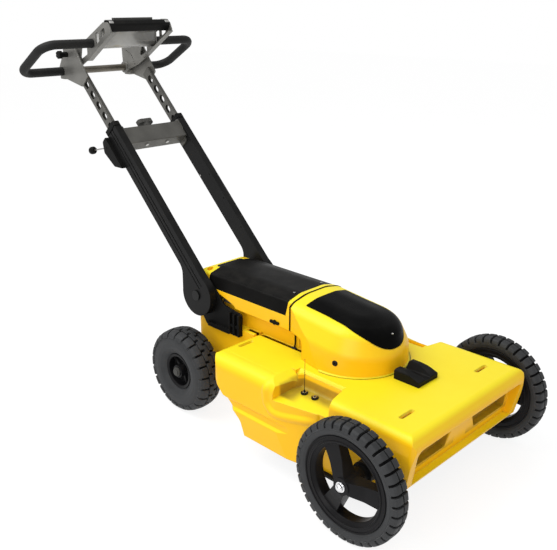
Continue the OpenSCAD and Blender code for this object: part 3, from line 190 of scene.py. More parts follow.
# Line of the sealing strip that leads from the gasket down the waist to the plug, its radius and its sides
STRIP_LINE = (
    (0.2596, -0.1085, 0.3450), (0.2597, -0.1045, 0.3372), (0.2600, -0.0930, 0.3345),
    (0.2603, -0.0872, 0.3290), (0.2605, -0.0868, 0.3000), (0.2607, -0.0890, 0.2830))
STRIP_RADIUS = 0.0022
STRIP_SIDES = 12
# Tray cap: outline as shares of the bar's half width and half height, then rounding of its corners and edges
TRAY_CAP_OUTLINE = ((-1.0, -0.58), (0.3, -1.0), (1.0, 0.26), (0.4, 1.0), (-0.8, 1.0))
TRAY_CAP_CORNER = 0.0085
TRAY_CAP_EDGE = 0.0012
# Apron under the tray: its top and its fold from the front plate's low corner, the kick at its foot, the gap
# at each side and the radius of its creases
APRON_TOP = (0.016, 0.0035)
APRON_FOLD = (0.0028, -0.004)
APRON_KICK = 0.006
APRON_GAP = 0.001
APRON_CREASE = 0.004
# Depth of a slot liner's rim below the deck, and the sides of its two round ends together
LINER_SINK = 0.0006
LINER_SIDES = 24
# Studio lights: place, point that each is turned to, and size
KEY_LIGHT = ((-0.9, -1.4, 3.4), (0.1, 0.0, 0.3), 2.6)
SIDE_LIGHT = ((1.7, -3.0, 1.7), (0.1, 0.0, 0.35), 2.0)
# Floor: half size, strength of its glow and the share of the glow that the camera sees
FLOOR_HALF = 14.0
FLOOR_GLOW = 1.15
FLOOR_SHARE = 0.74
# Distance to which the camera sees
FAR_CLIP = 60.0
# Distance below which vertices of a piece become one
MERGE_DISTANCE = 1e-6


def colour(label, words, value):
    """Colour that a user can set."""
    return FloatVectorProperty(
        name=label, description=words, default=value, size=3, min=0.0, max=1.0, subtype="COLOR")


def length(label, words, value):
    """Length that a user can set, in metres."""
    return FloatProperty(
        name=label, description=words, default=value, min=0.0, unit="LENGTH", subtype="DISTANCE")


def power(label, words, value):
    """Strength of a light that a user can set."""
    return FloatProperty(name=label, description=words, default=value, min=0.0)


class CartFinish(bpy.types.PropertyGroup):
    """Colours of the cart's materials"""

    yellow_side: colour("Yellow, sides", "Moulded yellow where it stands upright", (0.95, 0.52, 0.006))
    # Painted top light: the paler yellow that faces turned to the sky are given.
    yellow_top_painted_light: colour("Yellow, tops", "Paler yellow of the faces turned to the sky", (0.96, 0.79, 0.016))
    lid_black: colour("Lid black", "Satin black of the battery lid", (0.0045, 0.0043, 0.0040))
    panel_black: colour("Panel black", "Smooth black of the nose panel", (0.0026, 0.0026, 0.0026))
    moulded_black: colour("Moulded black", "Black of brackets, knobs and collars", (0.0055, 0.0055, 0.0053))
    arm_black: colour("Arm black", "Black of the two extruded handle arms", (0.0075, 0.0075, 0.0075))
    brace_grey: colour("Brace grey", "Warm grey of the bars and the brace", (0.115, 0.112, 0.102))
    plate_grey: colour("Plate grey", "Grey of the head plates and the tray's cheeks", (0.21, 0.205, 0.19))
    tray_grey: colour("Tray grey", "Light grey of the tray's rear plate", (0.42, 0.416, 0.40))
    grip_black: colour("Grip black", "Foam rubber of the handlebar grip", (0.013, 0.013, 0.013))
    tyre_black: colour("Tyre black", "Dull tyre rubber", (0.025, 0.026, 0.0275))
    # Painted shade: the tyre's rubber painted darker on the floor of the grooves.
    groove_painted_shade: colour("Groove black", "Shaded floor of the tread's grooves", (0.005, 0.005, 0.005))
    rim_black: colour("Rim black", "Satin black of the wheel rims", (0.0065, 0.0063, 0.0070))
    grey_plastic: colour("Grey plastic", "Dark grey of hub caps, lip and clamp knob", (0.055, 0.054, 0.05))
    tube_grey: colour("Bare tube", "Bare metal of the handlebar", (0.16, 0.145, 0.12))
    bright_nut: colour("Hub nut", "Bright plating of the front hub nuts", (0.72, 0.72, 0.73))
    axle_steel: colour("Axle steel", "Steel of the axles and the lever rod", (0.48, 0.47, 0.45))
    nickel: colour("Nickel", "Plating of connectors and contacts", (0.55, 0.53, 0.46))
    bush_tan: colour("Bush tan", "Plastic of the front bushes", (0.16, 0.11, 0.06))
    screw_steel: colour("Screw steel", "Bright screw heads", (0.5, 0.49, 0.47))
    screw_black: colour("Screw black", "Blackened screws in the nose's sides", (0.012, 0.011, 0.010))
    collar_black: colour("Collar black", "Black of the connector fittings", (0.011, 0.011, 0.011))
    gasket_black: colour("Gasket black", "Rubber of the seam's gasket", (0.004, 0.004, 0.004))


class CartTrim(bpy.types.PropertyGroup):
    """Sizes of the small fittings"""

    edge_soft: length("Moulded edge", "Radius of the soft edges on the yellow mouldings", 0.004)
    edge_fine: length("Fine edge", "Radius of the broken edges on metal and small parts", 0.0012)
    side_screw: length("Nose screw", "Radius of the socket screws sunk in the nose's sides", 0.0056)
    small_screw: length("Small screw", "Radius of the pan heads on panel, lid and arms", 0.0034)
    whip_length: length("Whip length", "Length of the thin whip on the rear pocket connector", 0.096)
    whip_radius: length("Whip radius", "Radius of the whip at its foot", 0.0009)
    collar_radius: length("Collar radius", "Radius of the collars round the pocket connectors", 0.0092)
    collar_height: length("Collar height", "Height of the knurled collars", 0.0055)
    knurls: IntProperty(name="Knurls", description="Ridges round a connector collar", default=20, min=8)
    liner_depth: length("Slot liner", "Depth of the moulded walls round a strap slot", 0.018)
    liner_wall: length("Slot liner wall", "Thickness of the walls round a strap slot", 0.002)
    cap_width: length("Tray cap", "Width of the bright caps on the ends of the tray's bar", 0.017)
    apron_drop: length("Tray apron", "Height of the folded apron under the tray", 0.048)
    apron_sheet: length("Tray apron sheet", "Thickness of the apron's sheet", 0.002)
    ridge_half: length("Ridge half width", "Half width of the soft ridge round a side pocket", 0.017)
    ridge_rise: length("Ridge rise", "Height of the soft ridge round a side pocket", 0.007)
    gasket: length("Seam gasket", "Thickness of the black gasket between battery box and nose", 0.0056)
    cap_wall: length("Tray cap wall", "Distance by which a cap stands proud of the bar", 0.0016)


class CartStage(bpy.types.PropertyGroup):
    """Camera and studio light"""

    camera_place: FloatVectorProperty(
        name="Camera place", description="Where the camera stands", default=(1.6162, -1.5458, 1.218), size=3,
        subtype="TRANSLATION", unit="LENGTH")
    camera_aim: FloatVectorProperty(
        name="Camera aim", description="Direction the camera looks", default=(-0.6725, 0.6680, -0.3185),
        size=3, subtype="DIRECTION")
    lens: FloatProperty(name="Lens", description="Focal length in millimetres", default=49.32, min=10.0)
    shift_x: FloatProperty(name="Shift across", description="Sideways shift of the picture", default=0.0199)
    shift_y: FloatProperty(name="Shift up", description="Upward shift of the picture", default=-0.0293)
    key_power: power("Key light", "Power of the large light above", 75.0)
    side_power: power("Side light", "Power of the light on the right side", 36.0)
    sky: power("Sky", "Strength of the light from all round", 0.62)


# Shader node helpers

def link(tree, start, end):
    """Joins an output to an input."""
    tree.links.new(start, end)


def group(name, inputs, outputs):
    """Empty shader node group with its named sockets."""
    tree = bpy.data.node_groups.new(name, "ShaderNodeTree")
    for label, kind, value in inputs:
        tree.interface.new_socket(label, in_out="INPUT", socket_type=kind).default_value = value
    for label, kind in outputs:
        tree.interface.new_socket(label, in_out="OUTPUT", socket_type=kind)
    return tree, tree.nodes.new("NodeGroupInput"), tree.nodes.new("NodeGroupOutput")


def maths(tree, operation, a, b):
    """Maths on sockets or numbers."""
    node = tree.nodes.new("ShaderNodeMath")
    node.operation = operation
    for socket, value in zip(node.inputs, (a, b)):
        if isinstance(value, (int, float)):
            socket.default_value = value
        else:
            link(tree, value, socket)
    return node.outputs[0]


def ranged(tree, value, low, high, to_low=0.0, to_high=1.0):
    """Smooth step of a value from one range to another."""
    node = tree.nodes.new("ShaderNodeMapRange")
    node.interpolation_type = "SMOOTHSTEP"
    for socket, amount in zip(node.inputs[1:5], (low, high, to_low, to_high)):
        socket.default_value = amount
    link(tree, value, node.inputs[0])
    return node.outputs[0]


def noise(tree, vector, scale, detail=3.0, rough=0.55):
    """Noise at a place; its scale is a socket or a number."""
    node = tree.nodes.new("ShaderNodeTexNoise")
    node.inputs["Detail"].default_value = detail
    node.inputs["Roughness"].default_value = rough
    if isinstance(scale, (int, float)):
        node.inputs["Scale"].default_value = scale
    else:
        link(tree, scale, node.inputs["Scale"])
    link(tree, vector, node.inputs["Vector"])
    return node.outputs["Fac"]


def object_place(tree):
    """Place on the piece, in metres."""
    return tree.nodes.new("ShaderNodeTexCoord").outputs["Object"]


def mixed(tree, mask, first, second, share=1.0):
    """Colour mix by a share of a mask; each colour is a socket or three numbers."""
    node = tree.nodes.new("ShaderNodeMix")
    node.data_type = "RGBA"
    link(tree, maths(tree, "MULTIPLY", mask, share), node.inputs[0])
    for socket, value in zip(node.inputs[6:8], (first, second)):
        if isinstance(value, tuple):
            socket.default_value = (*value, 1.0)
        else:
            link(tree, value, socket)
    return node.outputs[2]


def moulded_grain():
    """Fine spark-eroded grain with a slow mottle, as on moulded plastic and rubber."""
    tree, start, end = group(
        "Moulded Grain",
        [("Scale", "NodeSocketFloat", 900.0), ("Mottle Scale", "NodeSocketFloat", 9.0)],
        [("Height", "NodeSocketFloat"), ("Mottle", "NodeSocketFloat")])
    place = object_place(tree)
    link(tree, noise(tree, place, start.outputs["Scale"], 2.0), end.inputs["Height"])
    link(tree, noise(tree, place, start.outputs["Mottle Scale"], 4.0), end.inputs["Mottle"])
    return tree


def worn_edge():
    """Mask of the edges that get rubbed, and the rounded normal of those edges."""
    tree, start, end = group(
        "Worn Edge",
        [("Radius", "NodeSocketFloat", 0.002)],
        [("Mask", "NodeSocketFloat"), ("Normal", "NodeSocketVector")])
    bevel = tree.nodes.new("ShaderNodeBevel")
    bevel.samples = 6
    link(tree, start.outputs["Radius"], bevel.inputs["Radius"])
    flat = tree.nodes.new("ShaderNodeNewGeometry")
    turn = tree.nodes.new("ShaderNodeVectorMath")
    turn.operation = "DOT_PRODUCT"
    link(tree, bevel.outputs[0], turn.inputs[0])
    link(tree, flat.outputs["Normal"], turn.inputs[1])
    rubbed = ranged(tree, noise(tree, object_place(tree), 55.0, 5.0), 0.4, 0.62)
    edge = ranged(tree, turn.outputs["Value"], 0.99, 0.84)
    link(tree, maths(tree, "MULTIPLY", edge, rubbed), end.inputs["Mask"])
    link(tree, bevel.outputs[0], end.inputs["Normal"])
    return tree


def settled_dust_and_top_light():
    """Mask of the dust that settles on faces turned to the sky, and a mask of those faces for painted top
    light.
    """
    tree, start, end = group(
        "Settled Dust And Top Light",
        [("Scale", "NodeSocketFloat", 14.0)],
        [("Mask", "NodeSocketFloat"), ("Painted Top Light", "NodeSocketFloat")])
    geometry = tree.nodes.new("ShaderNodeNewGeometry")
    split = tree.nodes.new("ShaderNodeSeparateXYZ")
    link(tree, geometry.outputs["Normal"], split.inputs[0])
    upward = ranged(tree, split.outputs["Z"], 0.15, 0.95)
    patch = ranged(tree, noise(tree, object_place(tree), start.outputs["Scale"], 6.0, 0.65), 0.42, 0.75)
    link(tree, maths(tree, "MULTIPLY", upward, patch), end.inputs["Mask"])
    link(tree, upward, end.inputs["Painted Top Light"])
    return tree


def drawn_streaks():
    """Fine streaks left along a drawn or brushed metal face."""
    tree, start, end = group(
        "Drawn Streaks",
        [("Stretch", "NodeSocketVector", (40.0, 900.0, 900.0))],
        [("Height", "NodeSocketFloat")])
    scaled = tree.nodes.new("ShaderNodeVectorMath")
    scaled.operation = "MULTIPLY"
    link(tree, object_place(tree), scaled.inputs[0])
    link(tree, start.outputs["Stretch"], scaled.inputs[1])
    link(tree, noise(tree, scaled.outputs[0], 1.0, 3.0), end.inputs["Height"])
    return tree


def boxed(tree, place, low, high, soft):
    """Mask that is 1 inside a box given in metres and fades out over a soft margin."""
    inside = 1.0
    for axis, bottom, top, margin in zip("XYZ", low, high, soft):
        rising = ranged(tree, place.outputs[axis], bottom - margin, bottom)
        falling = ranged(tree, place.outputs[axis], top + margin, top)
        inside = maths(tree, "MULTIPLY", maths(tree, "MULTIPLY", rising, falling), inside)
    return inside


def recess_painted_shade():
    """Mask of the painted shade in the deck's side pockets and hand-hold windows, alike on both sides."""
    tree, _, end = group("Recess Painted Shade", [], [("Mask", "NodeSocketFloat")])
    folded = tree.nodes.new("ShaderNodeVectorMath")
    folded.operation = "ABSOLUTE"
    link(tree, object_place(tree), folded.inputs[0])
    place = tree.nodes.new("ShaderNodeSeparateXYZ")
    link(tree, folded.outputs[0], place.inputs[0])
    total = 0.0
    for zone in PAINTED_SHADE_ZONES:
        total = maths(tree, "MAXIMUM", boxed(tree, place, *zone), total)
    broken = ranged(tree, noise(tree, object_place(tree), 26.0, 5.0), 0.2, 0.7, 0.72, 1.0)
    link(tree, maths(tree, "MULTIPLY", total, broken), end.inputs["Mask"])
    return tree


GROUPS = {}


def placed(tree, key, values=()):
    """A shared effect placed in one material, with that material's values."""
    if key not in GROUPS:
        GROUPS[key] = {
            "grain": moulded_grain, "edge": worn_edge, "dust_and_top_light": settled_dust_and_top_light, "streaks": drawn_streaks,
            "shade_in_recesses": recess_painted_shade}[key]()
    node = tree.nodes.new("ShaderNodeGroup")
    node.node_tree = GROUPS[key]
    for label, value in values:
        node.inputs[label].default_value = value
    return node


def fresh_material(name, roughness, metallic=0.0, gloss=0.5):
    """Material with one Principled shader, returned with its tree and shader."""
    material = bpy.data.materials.new(name)
    material.use_nodes = True
    tree = material.node_tree
    shader = tree.nodes["Principled BSDF"]
    shader.inputs["Roughness"].default_value = roughness
    shader.inputs["Metallic"].default_value = metallic
    shader.inputs["Specular IOR Level"].default_value = gloss
    return material, tree, shader


def surface(tree, shader, tint, rough, height, strength, depth, normal):
    """Feeds a shader its colour, its roughness and a fine relief over a rounded normal."""
    link(tree, tint, shader.inputs["Base Color"])
    link(tree, rough, shader.inputs["Roughness"])
    bump = tree.nodes.new("ShaderNodeBump")
    bump.inputs["Strength"].default_value = strength
    bump.inputs["Distance"].default_value = depth
    link(tree, height, bump.inputs["Height"])
    link(tree, normal, bump.inputs["Normal"])
    link(tree, bump.outputs[0], shader.inputs["Normal"])


def shade(base, factor):
    """Colour made darker or brighter."""
    return tuple(channel * factor for channel in base)


def yellow_moulding(name, finish, trim, recess_shade_amount):
    """Satin yellow plastic with painted top light that makes faces turned to the sky paler, rubbed paler
    edges, and painted shade in its recesses.
    """
    material, tree, shader = fresh_material(name, 0.38, gloss=0.24)
    skin = placed(tree, "grain", [("Scale", 700.0), ("Mottle Scale", 7.0)])
    worn = placed(tree, "edge", [("Radius", trim.edge_soft)])
    dust_and_top_light = placed(tree, "dust_and_top_light", [("Scale", 11.0)])
    painted_shade_mask = placed(tree, "shade_in_recesses")
    side, top = tuple(finish.yellow_side), tuple(finish.yellow_top_painted_light)
    # Painted top light: faces turned to the sky take the paler yellow.
    base = mixed(tree, dust_and_top_light.outputs["Painted Top Light"], side, top)
    mottle = ranged(tree, skin.outputs["Mottle"], 0.3, 0.8, 0.0, 0.10)
    mottled = mixed(tree, mottle, base, shade(side, 0.82))
    rubbed = mixed(tree, worn.outputs["Mask"], mottled, RUBBED_YELLOW, 0.22)
    # Painted shade: the deck's recesses are darkened towards brown.
    shaded_in_recesses = mixed(tree, painted_shade_mask.outputs["Mask"], rubbed, PAINTED_SHADE_BROWN, recess_shade_amount)
    rough = ranged(tree, skin.outputs["Mottle"], 0.25, 0.75, 0.30, 0.42)
    surface(tree, shader, shaded_in_recesses, rough, skin.outputs["Height"], 0.12, 0.0004, worn.outputs["Normal"])
    return material


def grained_black(name, base, edge, rough, grain, bump, dusty=0.10, gloss=0.2):
    """Black plastic or rubber with grain, rubbed edges and a little settled dust."""
    material, tree, shader = fresh_material(name, rough[0], gloss=gloss)
    skin = placed(tree, "grain", [("Scale", grain), ("Mottle Scale", 12.0)])
    worn = placed(tree, "edge", [("Radius", edge)])
    dust_and_top_light = placed(tree, "dust_and_top_light", [("Scale", 18.0)])
    mottle = ranged(tree, skin.outputs["Mottle"], 0.3, 0.7)
    mottled = mixed(tree, mottle, shade(base, 0.8), shade(base, 1.25))
    rubbed = mixed(tree, worn.outputs["Mask"], mottled, shade(base, 4.0), 0.5)
    dusted = mixed(tree, dust_and_top_light.outputs["Mask"], rubbed, DUST_GREY, dusty)
    satin = ranged(tree, skin.outputs["Mottle"], 0.25, 0.75, *rough)
    surface(tree, shader, dusted, satin, skin.outputs["Height"], bump, 0.0005, worn.outputs["Normal"])
    return material


def streaked_metal(name, base, edge, rough, stretch, metallic):
    """Drawn or blasted metal with streaks, bright edges and slow tone changes."""
    material, tree, shader = fresh_material(name, rough[0], metallic)
    streaks = placed(tree, "streaks", [("Stretch", stretch)])
    skin = placed(tree, "grain", [("Scale", 400.0), ("Mottle Scale", 15.0)])
    worn = placed(tree, "edge", [("Radius", edge)])
    mottle = ranged(tree, skin.outputs["Mottle"], 0.3, 0.7)
    toned = mixed(tree, mottle, shade(base, 0.86), shade(base, 1.12))
    bright = mixed(tree, worn.outputs["Mask"], toned, shade(base, 1.9), 0.6)
    satin = ranged(tree, streaks.outputs["Height"], 0.25, 0.75, *rough)
    surface(tree, shader, bright, satin, streaks.outputs["Height"], 0.08, 0.0003, worn.outputs["Normal"])
    return material


def tyre_rubber(finish):
    """Dull rubber with a fine skin and grey scuffs on the tread blocks."""
    material, tree, shader = fresh_material("tyre_rubber", 0.72, gloss=0.36)
    base = finish.tyre_black
    skin = placed(tree, "grain", [("Scale", 520.0), ("Mottle Scale", 28.0)])
    worn = placed(tree, "edge", [("Radius", 0.0014)])
    mottle = ranged(tree, skin.outputs["Mottle"], 0.3, 0.72)
    mottled = mixed(tree, mottle, shade(base, 0.82), shade(base, 1.3))
    scuffed = mixed(tree, worn.outputs["Mask"], mottled, SCUFF_GREY, 0.7)
    dull = ranged(tree, skin.outputs["Mottle"], 0.2, 0.8, 0.50, 0.72)
    surface(tree, shader, scuffed, dull, skin.outputs["Height"], 0.25, 0.0006, worn.outputs["Normal"])
    return material


def dress(names, material):
    """Gives CAD nodes their finish."""
    for name in names:
        mesh = NODES[name].data
        mesh.materials.clear()
        mesh.materials.append(material)


# Pieces

def keep_mesh(name, shape, body, material, smooth=True):
    """Turns a bmesh into a piece that rides on a body."""
    bmesh.ops.remove_doubles(shape, verts=shape.verts, dist=MERGE_DISTANCE)
    bmesh.ops.recalc_face_normals(shape, faces=shape.faces)
    mesh = bpy.data.meshes.new(name)
    shape.to_mesh(mesh)
    shape.free()
    for face in mesh.polygons:
        face.use_smooth = smooth
    mesh.materials.append(material)
    piece = bpy.data.objects.new(name, mesh)
    bpy.context.scene.collection.objects.link(piece)
    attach(piece, body)
    return piece


def standing(place, axis):
    """Frame at a place, with its Z along an axis."""
    return Matrix.Translation(place) @ Vector(axis).to_track_quat("Z", "Y").to_matrix().to_4x4()


def add_round(shape, at, low_radius, high_radius, height, sides):
    """Closed round solid that stands on a frame's origin; returns its vertices."""
    made = bmesh.ops.create_cone(
        shape, cap_ends=True, segments=sides, radius1=low_radius, radius2=high_radius, depth=height,
        matrix=at @ Matrix.Translation((0.0, 0.0, height / 2)))
    return made["verts"]


def end_face(verts, at):
    """The flat face at the upper end of a round solid."""
    axis = at.col[2].xyz
    faces = {face for vert in verts for face in vert.link_faces if len(face.verts) > 4}
    return max(faces, key=lambda face: face.calc_center_median().dot(axis))


def edges_of(verts):
    """Every edge that meets one of some vertices."""
    return list({edge for vert in verts for edge in vert.link_edges})


def verts_of(made):
    """The vertices among what an operation made."""
    return [item for item in made if isinstance(item, bmesh.types.BMVert)]


def round_off(shape, geom, width, segments, affect="EDGES"):
    """Rounds edges, or the corners of a flat outline."""
    bmesh.ops.bevel(
        shape, geom=geom, offset=width, segments=segments, profile=0.5, affect=affect, material=-1)


def break_edges(shape, faces, width, segments=2):
    """Rounds the edges round some faces."""
    round_off(shape, list({edge for face in faces for edge in face.edges}), width, segments)


def add_turned(shape, section, steps, at=Matrix.Identity(4)):
    """Closed section, given as radii and heights, turned right round a frame's Z."""
    verts = [shape.verts.new(at @ Vector((radius, 0.0, rise))) for radius, rise in section]
    edges = [shape.edges.new((a, b)) for a, b in zip(verts, verts[1:] + verts[:1])]
    bmesh.ops.spin(
        shape, geom=verts + edges, cent=at.translation, axis=at.col[2].xyz, angle=2 * math.pi, steps=steps,
        use_merge=True)


def add_grommet(shape, at, bore):
    """Rounded ring that stands a little proud of a hole's mouth."""
    add_turned(shape, [(bore + out, rise) for out, rise in GROMMET_SECTION], GROMMET_STEPS, at)


def add_tube(shape, line, radius, sides):
    """Round bar with closed ends along a line of points."""
    rings = []
    for spot, before, after in zip(line, [line[0], *line[:-1]], [*line[1:], line[-1]]):
        ring = bmesh.ops.create_circle(
            shape, segments=sides, radius=radius, matrix=standing(spot, after - before))
        rings.append(edges_of(ring["verts"]))
    for first, second in zip(rings, rings[1:]):
        bmesh.ops.bridge_loops(shape, edges=first + second)
    for ring in (rings[0], rings[-1]):
        bmesh.ops.contextual_create(shape, geom=ring)


def add_screw(shape, place, axis, radius, height):
    """Screw head with a rounded rim and a sunk six-sided socket."""
    at = standing(place, axis)
    top = end_face(add_round(shape, at, radius, radius, height, SCREW_SIDES), at)
    rim = list(top.edges)
    bmesh.ops.delete(shape, geom=[top], context="FACES_ONLY")
    hexagon = bmesh.ops.create_circle(
        shape, segments=6, radius=radius * SOCKET_SHARE, matrix=at @ Matrix.Translation((0.0, 0.0, height)))
    mouth = edges_of(hexagon["verts"])
    bmesh.ops.bridge_loops(shape, edges=rim + mouth)
    floor = verts_of(bmesh.ops.extrude_edge_only(shape, edges=mouth)["geom"])
    bmesh.ops.translate(shape, verts=floor, vec=at.col[2].xyz * (-SOCKET_DEPTH * height))
    bmesh.ops.contextual_create(shape, geom=floor)
    round_off(shape, rim, min(radius, height) * SCREW_ROUND, 2)


class CART_OT_bodywork(bpy.types.Operator):
    """Yellow mouldings, black lid and black nose panel"""

    bl_idname = "cart.bodywork"
    bl_label = "Finish Bodywork"

    def execute(self, context):
        finish, trim = context.scene.cart_finish, context.scene.cart_trim
        dress(BODYWORK, yellow_moulding("yellow_moulding", finish, trim, recess_shade_amount=0.0))
        # Only the deck gets the painted shade in its pockets and hand-hold windows.
        dress(["deck_shell"], yellow_moulding("yellow_deck", finish, trim, recess_shade_amount=0.85))
        dress(["battery_lid"], grained_black(
            "lid_satin_black", finish.lid_black, edge=0.002, rough=(0.36, 0.48), grain=800.0, bump=0.10,
            dusty=0.04, gloss=0.07))
        dress(["nose_panel"], grained_black(
            "panel_smooth_black", finish.panel_black, edge=0.0008, rough=(0.22, 0.32), grain=900.0, bump=0.04,
            dusty=0.01, gloss=0.03))
        return {"FINISHED"}


class CART_OT_black_parts(bpy.types.Operator):
    """Black brackets, knobs, collars and the pieces hidden inside the body"""

    bl_idname = "cart.black_parts"
    bl_label = "Finish Black Parts"

    def execute(self, context):
        finish, trim = context.scene.cart_finish, context.scene.cart_trim
        dress(BLACK_MOULDINGS, grained_black(
            "moulded_black", finish.moulded_black, edge=trim.edge_fine, rough=(0.45, 0.6), grain=650.0,
            bump=0.2, dusty=0.04, gloss=0.1))
        dress(["fold_pins"], grained_black(
            "blackened_pin", finish.moulded_black, edge=trim.edge_fine, rough=(0.35, 0.5), grain=700.0,
            bump=0.1))
        dress(GREY_MOULDINGS, grained_black(
            "grey_moulding", finish.grey_plastic, edge=trim.edge_fine, rough=(0.5, 0.62), grain=600.0,
            bump=0.2))
        return {"FINISHED"}


class CART_OT_handle(bpy.types.Operator):
    """Handle arms, telescopic bars, brace, tray and handlebar"""

    bl_idname = "cart.handle"
    bl_label = "Finish Handle"

    def execute(self, context):
        finish, trim = context.scene.cart_finish, context.scene.cart_trim
        dress(["arm_right", "arm_left"], grained_black(
            "arm_black", finish.arm_black, edge=0.0015, rough=(0.34, 0.46), grain=900.0, bump=0.06,
            dusty=0.04, gloss=0.11))
        dress(GREY_METAL, streaked_metal(
            "brace_grey", finish.brace_grey, edge=trim.edge_fine, rough=(0.36, 0.5), stretch=ACROSS,
            metallic=0.6))
        dress(GREY_PLATES, streaked_metal(
            "plate_grey", finish.plate_grey, edge=trim.edge_fine, rough=(0.34, 0.48), stretch=ACROSS,
            metallic=0.6))
        dress(["tray_plate_rear"], streaked_metal(
            "tray_grey", finish.tray_grey, edge=trim.edge_fine, rough=(0.34, 0.46),
            stretch=(700.0, 40.0, 700.0), metallic=0.5))
        dress(["handlebar"], streaked_metal(
            "bare_tube", finish.tube_grey, edge=trim.edge_fine, rough=(0.28, 0.4),
            stretch=(700.0, 30.0, 700.0), metallic=0.8))
        dress(["grip_sleeve"], grained_black(
            "grip_foam", finish.grip_black, edge=0.001, rough=(0.55, 0.68), grain=420.0, bump=0.3,
            dusty=0.04))
        return {"FINISHED"}


class CART_OT_wheels(bpy.types.Operator):
    """Tyres, rims, bushes and axle ends"""

    bl_idname = "cart.wheels"
    bl_label = "Finish Wheels"

    def execute(self, context):
        finish = context.scene.cart_finish
        dress(TYRES, tyre_rubber(finish))
        dress(RIMS, grained_black(
            "rim_black", finish.rim_black, edge=0.0016, rough=(0.32, 0.45), grain=700.0, bump=0.12,
            dusty=0.04, gloss=0.12))
        dress(["front_hub_nuts"], streaked_metal(
            "bright_nut", finish.bright_nut, edge=0.0008, rough=(0.08, 0.18), stretch=(200.0, 200.0, 200.0),
            metallic=1.0))
        dress(BRIGHT_STEEL, streaked_metal(
            "bright_steel", finish.axle_steel, edge=0.0008, rough=(0.22, 0.36), stretch=(90.0, 90.0, 500.0),
            metallic=1.0))
        dress(["pocket_connectors", "battery_contacts"], streaked_metal(
            "nickel_plate", finish.nickel, edge=0.0006, rough=(0.18, 0.3), stretch=(300.0, 300.0, 300.0),
            metallic=1.0))
        dress(["front_bush_right", "front_bush_left"], grained_black(
            "bush_plastic", finish.bush_tan, edge=0.0006, rough=(0.4, 0.5), grain=600.0, bump=0.1))
        return {"FINISHED"}


class CART_OT_tyres(bpy.types.Operator):
    """Tyres with deep tread blocks in place of the plain ones"""

    bl_idname = "cart.tyres"
    bl_label = "Build Tyres"

    def execute(self, context):
        finish = context.scene.cart_finish
        rubber = NODES["front_tyre_right"].data.materials[0]
        # Painted shade on the carcass between the tread blocks.
        groove_shade = grained_black(
            "tread_groove_painted_shade", finish.groove_painted_shade, edge=0.0006, rough=(0.75, 0.88), grain=500.0, bump=0.2,
            dusty=0.0, gloss=0.05)
        for end, carcass, rows, blocks in TYRE_KINDS:
            for side, outward in SIDES:
                node = "{}_tyre_{}".format(end, side)
                low, high = (Vector(corner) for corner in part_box(node))
                shape = bmesh.new()
                self.add_carcass(shape, carcass)
                for section, share, turn in rows:
                    for face in (-1, 1):
                        self.add_row(shape, section, face, share, turn * face, blocks)
                bmesh.ops.transform(
                    shape, verts=shape.verts, matrix=standing((low + high) / 2, (0, outward, 0)))
                piece = keep_mesh(
                    node + "_tread", shape, "{}_wheel_{}".format(end, side), rubber, smooth=False)
                piece.data.materials.append(groove_shade)
                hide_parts(node)
        return {"FINISHED"}

    def add_carcass(self, shape, half):
        """Tyre without its tread; what lies under the tread is painted darker, as shade in the grooves."""
        add_turned(shape, [*half, *((radius, -off) for radius, off in half[-2::-1])], WHEEL_STEPS)
        crown = half[-1][0]
        for face in shape.faces:
            if face.calc_center_median().xy.length > crown - GROOVE_REACH:
                face.material_index = 1

    def add_row(self, shape, section, face, share, turn, blocks):
        """One block with broken edges, copied all round the wheel."""
        pitch = 2 * math.pi / blocks
        start = (turn - share / 2) * pitch
        known = set(shape.faces)
        loops = []
        for step in range(BLOCK_STEPS + 1):
            spot = Matrix.Rotation(start + share * pitch * step / BLOCK_STEPS, 4, "Z")
            loops.append([
                shape.verts.new(spot @ Vector((radius, 0.0, face * off))) for radius, off in section])
        caps = [shape.faces.new(loops[0]), shape.faces.new(loops[-1])]
        for first, second in zip(loops, loops[1:]):
            for a, b in zip(range(len(section)), [*range(1, len(section)), 0]):
                shape.faces.new((first[a], first[b], second[b], second[a]))
        break_edges(shape, caps, BLOCK_EDGE, 1)
        block = [item for item in shape.faces if item not in known]
        verts = {vert for item in block for vert in item.verts}
        edges = {edge for item in block for edge in item.edges}
        bmesh.ops.spin(
            shape, geom=[*verts, *edges, *block], cent=(0, 0, 0), axis=(0, 0, 1), angle=pitch * (blocks - 1),
            steps=blocks - 1, use_duplicate=True)


class CART_OT_rim_beads(bpy.types.Operator):
    """Round beads on both faces of the front rims"""

    bl_idname = "cart.rim_beads"
    bl_label = "Build Rim Beads"

    def execute(self, context):
        black = NODES["front_rim_right"].data.materials[0]
        for side, _ in SIDES:
            low, high = (Vector(corner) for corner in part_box("front_tyre_" + side))
            shape = bmesh.new()
            for radius, half in RIM_BEADS:
                for face in (-1, 1):
                    section = [(radius + half * out, face * off) for out, off in RIM_BEAD_SECTION]
                    add_turned(shape, section, WHEEL_STEPS)
            bmesh.ops.transform(shape, verts=shape.verts, matrix=standing((low + high) / 2, (0, 1, 0)))
            keep_mesh("front_rim_beads_" + side, shape, "front_wheel_" + side, black)
        return {"FINISHED"}


